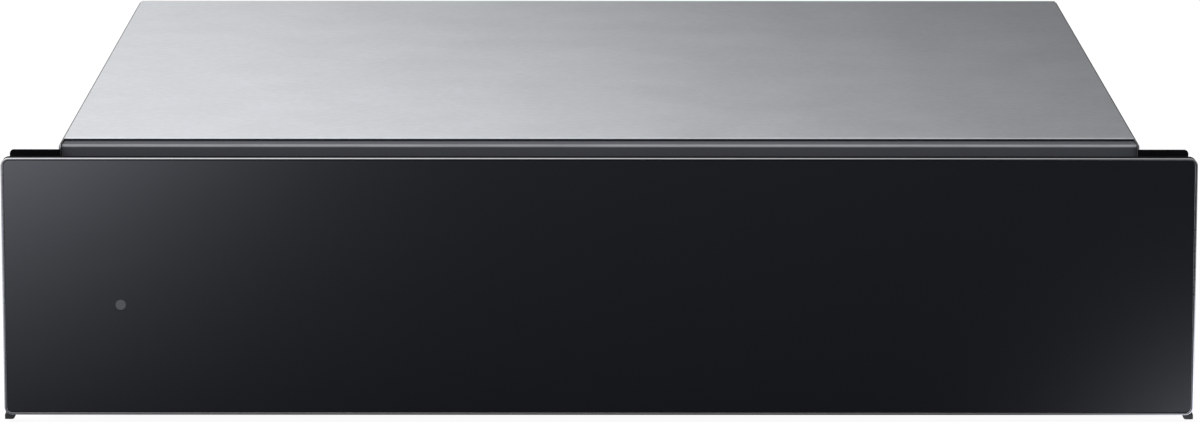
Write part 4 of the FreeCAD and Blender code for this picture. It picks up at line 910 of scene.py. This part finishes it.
def panHeads(tree, given):
    # pan head: a ball squared off towards its rim
    ball = geometry(tree, "MeshUVSphere", {"Segments": 28, "Rings": 14, "Radius": 1.0})
    x, y, z = split(geometry(tree, "InputPosition"))
    reach = calc("MAXIMUM", calc("SQRT", plus(times(x, x), times(y, y))), 0.001)
    spread = times(calc("POWER", reach, -0.45), times(given["Head Width"], 0.5))
    lift = times(calc("POWER", calc("ABSOLUTE", z), 0.6), given["Head Depth"])
    moved = vector(times(x, spread), times(y, spread), times(lift, calc("SIGN", z)))
    head = geometry(tree, "SetPosition", {"Geometry": ball, "Position": moved})
    # six-lobed recess
    lobe = times(given["Recess Width"], 0.5)
    star = geometry(tree, "CurveStar", {
        "Points": 6, "Inner Radius": times(lobe, 0.74), "Outer Radius": lobe})
    drill = prism(tree, star, times(given["Head Depth"], 0.4), times(given["Head Depth"], 1.6))
    cut = geometry(tree, "MeshBoolean", {0: head, 1: drill}, operation="DIFFERENCE")
    below = calc("LESS_THAN", split(geometry(tree, "InputPosition"))[2], -0.00002)
    cap = geometry(tree, "DeleteGeometry", {"Geometry": cut, "Selection": below}, domain="POINT")
    barrel = geometry(tree, "CurvePrimitiveCircle", {
        "Resolution": 18, "Radius": times(given["Shank Width"], 0.5)})
    whole = joinedShape(cap, prism(tree, barrel, times(given["Shank Length"], -1.0), 0.00005))
    # each stands on its seat, faces out and has its own turn
    facing = geometry(tree, "InputNamedAttribute", {"Name": "facing"}, data_type="FLOAT_VECTOR")
    stood = addNode(tree, "FunctionNodeAlignRotationToVector", {"Vector": facing}, axis="Z")
    angle = randomValue(tree, 0.0, math.pi, given)
    spun = addNode(tree, "FunctionNodeAxisAngleToRotation", {"Axis": (0, 0, 1), "Angle": angle})
    turn = addNode(tree, "FunctionNodeRotateRotation", {0: stood.outputs[0], 1: spun.outputs[0]},
                   rotation_space="LOCAL")
    return copies(given["Geometry"], whole, Rotation=turn.outputs[0])


def randomValue(tree, least, most, given):
    values = {2: least, 3: most, "Seed": given["Seed"]}
    return addNode(tree, "FunctionNodeRandomValue", values).outputs[1]


def seatPoints(seats):
    mesh = bpy.data.meshes.new("seats")
    mesh.from_pydata([seat for seat, facing in seats], [], [])
    facings = mesh.attributes.new("facing", "FLOAT_VECTOR", "POINT")
    for index, (seat, facing) in enumerate(seats):
        facings.data[index].vector = facing
    return mesh


screw = {"Head Width": 0.0070, "Head Depth": 0.0018, "Shank Width": 0.0039, "Shank Length": 0.0021,
         "Recess Width": 0.0032, "Seed": 4}
screwSets = {
    "chassis": {"size": {"Head Width": 0.0074, "Head Depth": 0.0020},
                "steps": (0.060, 0.210, 0.390), "flangeInset": 0.022,
                "flangeHigh": (0.020, 0.110), "flangeGauge": 0.0015},
    "drawer": {"size": {}, "steps": (0.040, 0.215, 0.395), "wallGauge": 0.001},
    "panel": {"size": {"Head Depth": 0.0022}, "first": -0.225, "pitch": 0.150, "count": 4,
              "rows": (0.106, 0.020), "wallGauge": 0.001},
}


def setScrews(name, node, size, seats):
    standIn(name, grow(panHeads, "fasteners", {**screw, **size}, seatPoints(seats)), node)


def makeScrews():
    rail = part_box("slide_outer_left")
    start, railHigh = rail[0].y, (rail[0].z + rail[1].z) / 2
    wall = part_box("side_wall_right")
    chassis, drawer, panel = screwSets.values()
    across, outside = wall[1].x, wall[1].x + chassis["flangeGauge"]
    edge = wall[0].y + chassis["flangeInset"]
    seats = []
    for side in (-1, 1):
        seats += [((side * across, start + step, railHigh), (side, 0, 0))
                  for step in chassis["steps"]]
        seats += [((side * outside, edge, high), (side, 0, 0)) for high in chassis["flangeHigh"]]
    setScrews("wallScrews", "chassis_screws", chassis["size"], seats)
    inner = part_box("drawer_side_right")[1].x - drawer["wallGauge"]
    setScrews("runnerScrews", "drawer_screws", drawer["size"], [
        ((side * inner, start + step, railHigh), (-side, 0, 0))
        for side in (-1, 1) for step in drawer["steps"]])
    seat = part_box("drawer_inner_front")[0].y + panel["wallGauge"]
    setScrews("frontScrews", "panel_screws", panel["size"], [
        ((panel["first"] + step * panel["pitch"], seat, high), (0, 1, 0))
        for high in panel["rows"] for step in range(panel["count"])])


makeScrews()
print("screws ready")

mat = {
    "margin": 0.006,
    "sheet": {"Corner": 0.008, "Thick": 0.0014, "Pitch": 0.009, "Stud Width": 0.0022},
}


def studdedSheet(tree, given):
    # sheet with rounded corners and staggered low studs
    sheet = roundedPlate(tree, given, "Width", "Length", 8, "Thick")
    grid = geometry(tree, "MeshGrid", {
        "Size X": times(minus(given["Columns"], 1.0), given["Pitch"]),
        "Size Y": times(minus(given["Rows"], 1.0), given["Pitch"]),
        "Vertices X": given["Columns"], "Vertices Y": given["Rows"]})
    index = geometry(tree, "InputIndex")
    odd = calc("MODULO", calc("FLOOR", calc("DIVIDE", index, given["Rows"])), 2.0)
    nudge = vector(0.0, times(minus(odd, 0.5), times(given["Pitch"], 0.5)), given["Thick"])
    spots = geometry(tree, "SetPosition", {"Geometry": grid, "Offset": nudge})
    stud = geometry(tree, "MeshCone", {
        "Vertices": 10, "Side Segments": 2, "Radius Top": times(given["Stud Width"], 0.3),
        "Radius Bottom": times(given["Stud Width"], 0.5), "Depth": given["Stud Height"]})
    return joinedShape(sheet, copies(spots, stud))


def makeMat():
    low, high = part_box("anti_slip_mat")
    size, centre, sheet = high - low, (low + high) / 2, mat["sheet"]
    columns, rows = (int((reach - 2 * mat["margin"]) / sheet["Pitch"]) for reach in size.xy)
    mesh = grow(studdedSheet, "rubber", {
        **sheet, "Width": size.x, "Length": size.y, "Columns": columns + 1, "Rows": rows,
        "Stud Height": size.z - sheet["Thick"]})
    mesh.transform(Matrix.Translation((centre.x, centre.y, low.z)))
    standIn("studdedMat", mesh, "anti_slip_mat", smoothBelow=30)


makeMat()
print("mat ready")

spring = {
    "keep": 0.80, "fixedEnd": 0.198,
    "coil": {"Turns": 8.0, "Radius": 0.00285, "Wire": 0.00042, "Steps": 40},
}


def placed(centre, level, degrees):
    # stands work made round Z on its axis along Y
    return (Matrix.Translation((centre[0], level, centre[2]))
            @ Matrix.Rotation(math.radians(degrees), 4, "X"))


def woundWire(tree, given):
    spiral = geometry(tree, "CurveSpiral", {
        "Resolution": given["Steps"], "Rotations": given["Turns"], "Start Radius": given["Radius"],
        "End Radius": given["Radius"], "Height": given["Length"]})
    section = geometry(tree, "CurvePrimitiveCircle", {"Resolution": 8, "Radius": given["Wire"]})
    return swept(spiral, section)


def makeSpring():
    low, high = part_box("latch_spring")
    wire = spring["coil"]["Wire"]
    mesh = grow(woundWire, "fasteners", {**spring["coil"], "Length": high.y - low.y - 2 * wire})
    mesh.transform(placed(middleOf(low, high), low.y + wire, -90))
    piece = standIn("latchCoil", mesh, "latch_spring")
    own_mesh(piece)


makeSpring()
print("spring ready")


def beveledBox(low, high, width):
    work = bmesh.new()
    bmesh.ops.create_cube(work, size=1.0)
    size, centre = Vector(high) - Vector(low), (Vector(low) + Vector(high)) / 2
    for vert in work.verts:
        vert.co = vert.co * size + centre
    bmesh.ops.bevel(work, geom=work.edges[:], offset=width, segments=2, affect="EDGES", profile=0.5)
    return tidyMesh(work)


knob = {"flutes": 20, "fluteDeep": 0.0006, "skirt": 0.01495, "grip": 0.0139,
        "pointerWide": 0.0014, "pointerFrom": 0.0052, "pointerTo": 0.0116}


def makeKnob():
    low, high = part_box("temperature_knob")
    centre = middleOf(low, high)
    back, face = low.y, high.y
    skirt, grip, half = knob["skirt"], knob["grip"], knob["pointerWide"] / 2

    def flutes(turn, along):
        # they run out towards both ends of the grip
        rise, fall = (along - back - 0.0042) / 0.0012, (face - 0.0004 - along) / 0.0016
        depth = min(max(rise, 0), max(fall, 0), 1)
        return -knob["fluteDeep"] * depth * wave(knob["flutes"], turn) ** 2

    profile = profileOf(
        (back, (0, skirt - 0.0003), (0.0003, skirt), (0.0024, skirt), (0.0028, skirt - 0.0003),
         (0.0032, grip + 0.0003), (0.0040, grip), (0.0048, grip), (0.0056, grip),
         (0.0090, grip - 0.0001)),
        (face, (-0.0026, grip - 0.0002), (-0.0012, grip - 0.0004), (-0.0005, grip - 0.0008),
         (-0.0001, grip - 0.0015), (0, grip - 0.0022), (-0.0003, grip - 0.0032),
         (-0.0004, 0.0040), (-0.0004, pinhole)))
    grip = turned(profile, centre, steps=8 * knob["flutes"], ripple=flutes)
    standIn("gripKnob", grip, "temperature_knob", smoothBelow=50)
    bar = beveledBox((centre[0] - half, face - 0.0007, centre[2] + knob["pointerFrom"]),
                     (centre[0] + half, face - 0.00015, centre[2] + knob["pointerTo"]), 0.0001)
    addPiece("knobPointer", bar, "white_plastic", "knob")


button = {"cap": 0.0067, "rim": 0.0006, "dish": 0.0003, "play": 0.0001, "markRadius": 0.0023,
          "markWide": 0.00022, "markSteps": 32, "markFrom": 125, "markSweep": 290,
          "barFrom": 0.0008, "barTo": 0.0028}


def makeButton():
    low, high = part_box("power_button")
    centre = middleOf(low, high)
    flange, cap, dish = (high.x - low.x) / 2 - button["play"], button["cap"], button["dish"]
    profile = profileOf(
        (low.y, (0, pinhole), (0, 0.0025)),
        (high.y, (-0.0071, 0.0025), (-0.0071, flange), (-0.0051, flange), (-0.0051, cap),
         (-0.0006, cap), (-0.0002, cap - 0.0002), (0, cap - button["rim"]), (-0.0001, cap - 0.0011),
         (-dish, 0.0030), (-dish, pinhole)))
    standIn("powerKey", turned(profile, centre, steps=56), "power_button")
    # plain on and off mark: an open ring with a bar in its gap
    level = high.y - dish
    ring = arc(centre[0], level, centre[2],
               *pick(button, "markRadius", "markFrom", "markSweep", "markSteps"))
    bar = [(centre[0], level, centre[2] + button[key]) for key in ("barFrom", "barTo")]
    addPiece("powerMark", wireMesh(button["markWide"], 2, (ring, bar)), "white_plastic", "button")


dial = {
    "sweep": 270, "numbers": "01234", "numberReach": 0.0197, "numberSize": 0.0028,
    "ticks": {"Marks": 19, "Inner": 0.0163, "Long": 0.0008, "Wide": 0.0003, "Raise": 0.00005},
}


def dialMarks(tree, given):
    # marks round an arc
    size = vector(given["Wide"], given["Long"], given["Raise"])
    reach = plus(given["Inner"], times(given["Long"], 0.5))
    mark = geometry(tree, "Transform", {
        "Geometry": geometry(tree, "MeshCube", {"Size": size}),
        "Translation": vector(0.0, reach, times(given["Raise"], 0.5))})
    count = given["Marks"]
    return ringed(count, minus(count, 1.0), times(given["Sweep"], -1.0), mark)


def makeDial():
    centre = middleOf(*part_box("temperature_knob"))
    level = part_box("control_fascia")[1].y
    sweep, reach, ticks = math.radians(dial["sweep"]), dial["numberReach"], dial["ticks"]
    lift = ticks["Raise"] / 2
    parts = [grow(dialMarks, "white_plastic", {**ticks, "Sweep": sweep})]
    for index, label in enumerate(dial["numbers"]):
        turn = sweep * index / (len(dial["numbers"]) - 1)
        text = bpy.data.curves.new("number", "FONT")
        text.body, text.size, text.extrude = label, dial["numberSize"], lift
        text.align_x, text.align_y = "CENTER", "CENTER"
        figure = curveMesh(text)
        figure.transform(Matrix.Translation((reach * math.sin(turn), reach * math.cos(turn), lift)))
        parts.append(figure)
    marks = joinedMesh(parts)
    # turned so that it reads from behind the panel
    rows = ((-1, 0, 0, centre[0]), (0, 0, 1, level), (0, 1, 0, centre[2]), (0, 0, 0, 1))
    marks.transform(Matrix(rows))
    addPiece("dialMarks", marks, "white_plastic", "drawer")


makeKnob()
makeButton()
makeDial()
print("controls ready")

buffer = {"base": 0.0060, "deep": 0.0024, "nose": 0.0043}


def makeBuffers():
    low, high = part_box("front_buffers")
    base, deep, nose = buffer.values()
    profile = profileOf(
        (high.y, (0, pinhole), (0, base), (0.0006 - deep, base), (0.0001 - deep, base - 0.0005),
         (-deep, nose + 0.0006), (-deep - 0.0006, nose)),
        (low.y, (0.0030, nose), (0.0014, nose - 0.0003), (0.0005, nose - 0.0010),
         (0.0001, nose - 0.0022), (0, pinhole)))
    parts = [turned(profile, (side * (high.x - base), 0, level), steps=32)
             for side in (-1, 1) for level in (low.z + base, high.z - base)]
    standIn("softStops", joinedMesh(parts), "front_buffers")


gland = {"ribs": 22, "ribDeep": 0.0006, "ribsFrom": 0.0012, "ribsTo": 0.0016, "bore": 0.0042,
         "thread": 0.0079, "cap": 0.0105, "nut": 0.0105, "nutDeep": 0.0040}


def makeGland():
    low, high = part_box("cable_gland")
    inside, wall = (corner.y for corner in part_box("rear_wall"))
    centre, bore, thread, cap = middleOf(low, high), gland["bore"], gland["thread"], gland["cap"]

    def ribs(turn, along):
        ribbed = wall + gland["ribsFrom"] < along < high.y - gland["ribsTo"]
        return -gland["ribDeep"] * wave(gland["ribs"], turn) * ribbed

    profile = profileOf(
        (low.y, (0, bore), (0, thread - 0.0002), (0.0002, thread)),
        (wall, (0, thread), (0, cap - 0.0002), (0.0004, cap), (0.0010, cap), (0.0014, cap - 0.0002),
         (0.0034, cap - 0.0005)),
        (high.y, (-0.0018, cap - 0.0010), (-0.0014, cap - 0.0012), (-0.0004, cap - 0.0022),
         (0, cap - 0.0032), (0, bore + 0.0008), (-0.0008, bore)))
    body = turned(profile, centre, steps=8 * gland["ribs"], closed=True, ripple=ribs)
    nut = turned(washer(inside - gland["nutDeep"], inside, thread, gland["nut"]), centre, steps=6,
                 closed=True)
    standIn("leadGland", joinedMesh([body, nut]), "cable_gland", smoothBelow=30)


terminals = {"pitch": 0.013, "below": 0.007,
             "screw": {"Head Width": 0.0054, "Head Depth": 0.0016, "Shank Width": 0.003,
                       "Shank Length": 0.004, "Recess Width": 0.0026}}


def makeTerminals():
    brokenEdgeCopy("terminal_block", "terminalCase", 0.4)
    low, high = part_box("terminal_block")
    middle, level = (low + high) / 2, high.z - terminals["below"]
    seats = [((middle.x + step * terminals["pitch"], middle.y, level), (0, 0, 1))
             for step in (-1, 0, 1)]
    mesh = grow(panHeads, "brass", {**screw, **terminals["screw"]}, seatPoints(seats))
    addPiece("terminalScrews", mesh, "brass", "chassis")


motor = {
    "shaft": 0.0026, "front": 0.006, "stackDeep": 0.012, "lobes": 12, "lobeDeep": 0.0009,
    "stack": {"Plates": 16, "Height": 0.048, "Gauge": 0.00055, "Corner": 0.004, "Seed": 7},
}


def plateStack(tree, given):
    # stack of thin plates, each a hair smaller than the outline
    plate = roundedPlate(tree, given, "Width", "Height", 5, "Gauge")
    spots = geometry(tree, "Points", {"Count": given["Plates"]})
    lift = vector(0.0, 0.0, times(geometry(tree, "InputIndex"), given["Pitch"]))
    spots = geometry(tree, "SetPosition", {"Geometry": spots, "Offset": lift})
    size = randomValue(tree, 0.985, 1.0, given)
    return copies(spots, plate, Scale=vector(size, size, 1.0))


def makeMotor():
    low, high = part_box("fan_motor")
    centre, front = middleOf(low, high), low.y
    radius, shaft, deep = (high.z - low.z) / 2, motor["shaft"], motor["stackDeep"]
    stack = motor["stack"]
    endPlate = profileOf((front, (0, shaft), (0, radius * 0.62), (0.0015, radius * 0.78),
                          (0.0050, radius * 0.86), (0.0060, radius * 0.86), (0.0060, shaft)))
    rear = profileOf((high.y, (-0.0120, 0.0001), (-0.0120, radius * 0.86), (-0.0100, radius * 0.86),
                      (-0.0060, radius * 0.74), (-0.0042, radius * 0.56), (-0.0040, 0.0100),
                      (-0.0006, 0.0098), (0, 0.0090), (0, 0.0001)))
    shells = [turned(endPlate, centre, steps=64, closed=True), turned(rear, centre, steps=64)]
    standIn("motorEnds", joinedMesh(shells), "fan_motor")
    pitch = (deep - stack["Gauge"]) / (stack["Plates"] - 1)
    plates = grow(plateStack, "motor_steel", {**stack, "Width": high.x - low.x, "Pitch": pitch})
    plates.transform(placed(centre, front + motor["front"] + deep, 90))
    addPiece("motorPlates", plates, "motor_steel", "chassis", smoothBelow=20)
    coil = profileOf((front, (0.0062, radius * 0.50), (0.0062, radius * 0.93),
                      (0.0068, radius * 0.985), (0.0176, radius * 0.985), (0.0180, radius * 0.93),
                      (0.0180, radius * 0.50)))

    def lobes(turn, along):
        return -motor["lobeDeep"] * wave(motor["lobes"], turn)

    addPiece("motorWinding", turned(coil, centre, steps=96, closed=True, ripple=lobes), "copper",
             "chassis")


fan = {
    "bore": 0.0026, "rimInner": 0.0415, "rimDeep": 0.0008, "discDeep": 0.0010,
    "ring": {"Blades": 30, "Inner": 0.0285, "Outer": 0.0425, "Bow": 0.0045, "Gauge": 0.0007},
}


def bladeRing(tree, given):
    # bowed blades round the Z axis
    middle = vector(times(plus(given["Inner"], given["Outer"]), 0.5), times(given["Bow"], -0.4))
    spine = geometry(tree, "CurveQuadraticBezier", {
        "Resolution": 6, "Start": vector(given["Inner"]), "Middle": middle,
        "End": vector(minus(given["Outer"], 0.0004), given["Bow"])})
    section = geometry(tree, "CurvePrimitiveQuadrilateral", {
        "Width": given["Gauge"], "Height": given["Deep"]})
    return ringed(given["Blades"], given["Blades"], 2 * math.pi, swept(spine, section))


def makeImpeller():
    low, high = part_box("fan_impeller")
    centre, bore = middleOf(low, high), fan["bore"]
    radius, deep = (high.z - low.z) / 2, high.y - low.y - 0.0012
    blades = grow(bladeRing, "stainless", {**fan["ring"], "Deep": deep})
    blades.transform(placed(centre, low.y + 0.0002 + deep / 2, -90))
    disc = turned(washer(high.y - fan["discDeep"], high.y, bore, radius), centre, 96, True)
    rim = turned(washer(low.y, low.y + fan["rimDeep"], fan["rimInner"], radius), centre, 96, True)
    hub = profileOf((low.y, (0.0032, bore), (0.0032, 0.0070), (0.0042, 0.0079)),
                    (high.y, (-0.0006, 0.0079), (-0.0006, bore)))
    wheel = joinedMesh([blades, disc, rim, turned(hub, centre, closed=True)])
    standIn("bladeWheel", wheel, "fan_impeller")


element = {"radius": 0.051, "tube": 0.00325, "gap": 15, "stud": 0.0015, "tail": 0.026,
           "tailFrom": 0.0022, "bend": 1.5, "steps": 120, "nut": 0.0060, "nutBore": 0.0033}


def makeElement():
    low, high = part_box("heating_element")
    middle, level = (low.z + high.z) / 2, low.y + element["tube"]
    reach, gap, bend, steps = pick(element, "radius", "gap", "bend", "steps")
    path = arc(0, level, middle, reach, -90 + gap + bend, 360 - 2 * gap - 2 * bend, steps)
    aside, foot = (reach * part(math.radians(gap)) for part in (math.sin, math.cos))
    lead, tail = ([(side * aside, level + along, middle - foot)
                   for along in (element["tail"], element["tailFrom"])] for side in (1, -1))
    tube = wireMesh(element["tube"] - 0.00002, 6, [lead + path + tail[::-1]], caps=True)
    standIn("heaterTube", tube, "heating_element", smoothBelow=60)
    bore, nut, stud = pick(element, "nutBore", "nut", "stud")
    collar = profileOf((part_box("fan_plate")[1].y, (0, bore), (0, nut), (0.0022, nut),
                        (0.0030, nut - 0.0008), (0.0030, bore)))
    pin = profileOf((level + element["tail"], (-0.001, 0.0001), (-0.001, stud)),
                    (high.y, (-0.0003, stud), (0, stud - 0.0003), (0, 0.0001)))
    studs = []
    for side in (1, -1):
        centre = (side * aside, 0, middle - foot)
        studs += [turned(collar, centre, steps=32, closed=True), turned(pin, centre, steps=20)]
    addPiece("heaterStuds", joinedMesh(studs), "fasteners", "chassis")


for make in (makeBuffers, makeGland, makeTerminals, makeMotor, makeImpeller, makeElement):
    make()
print("warm-air unit ready")
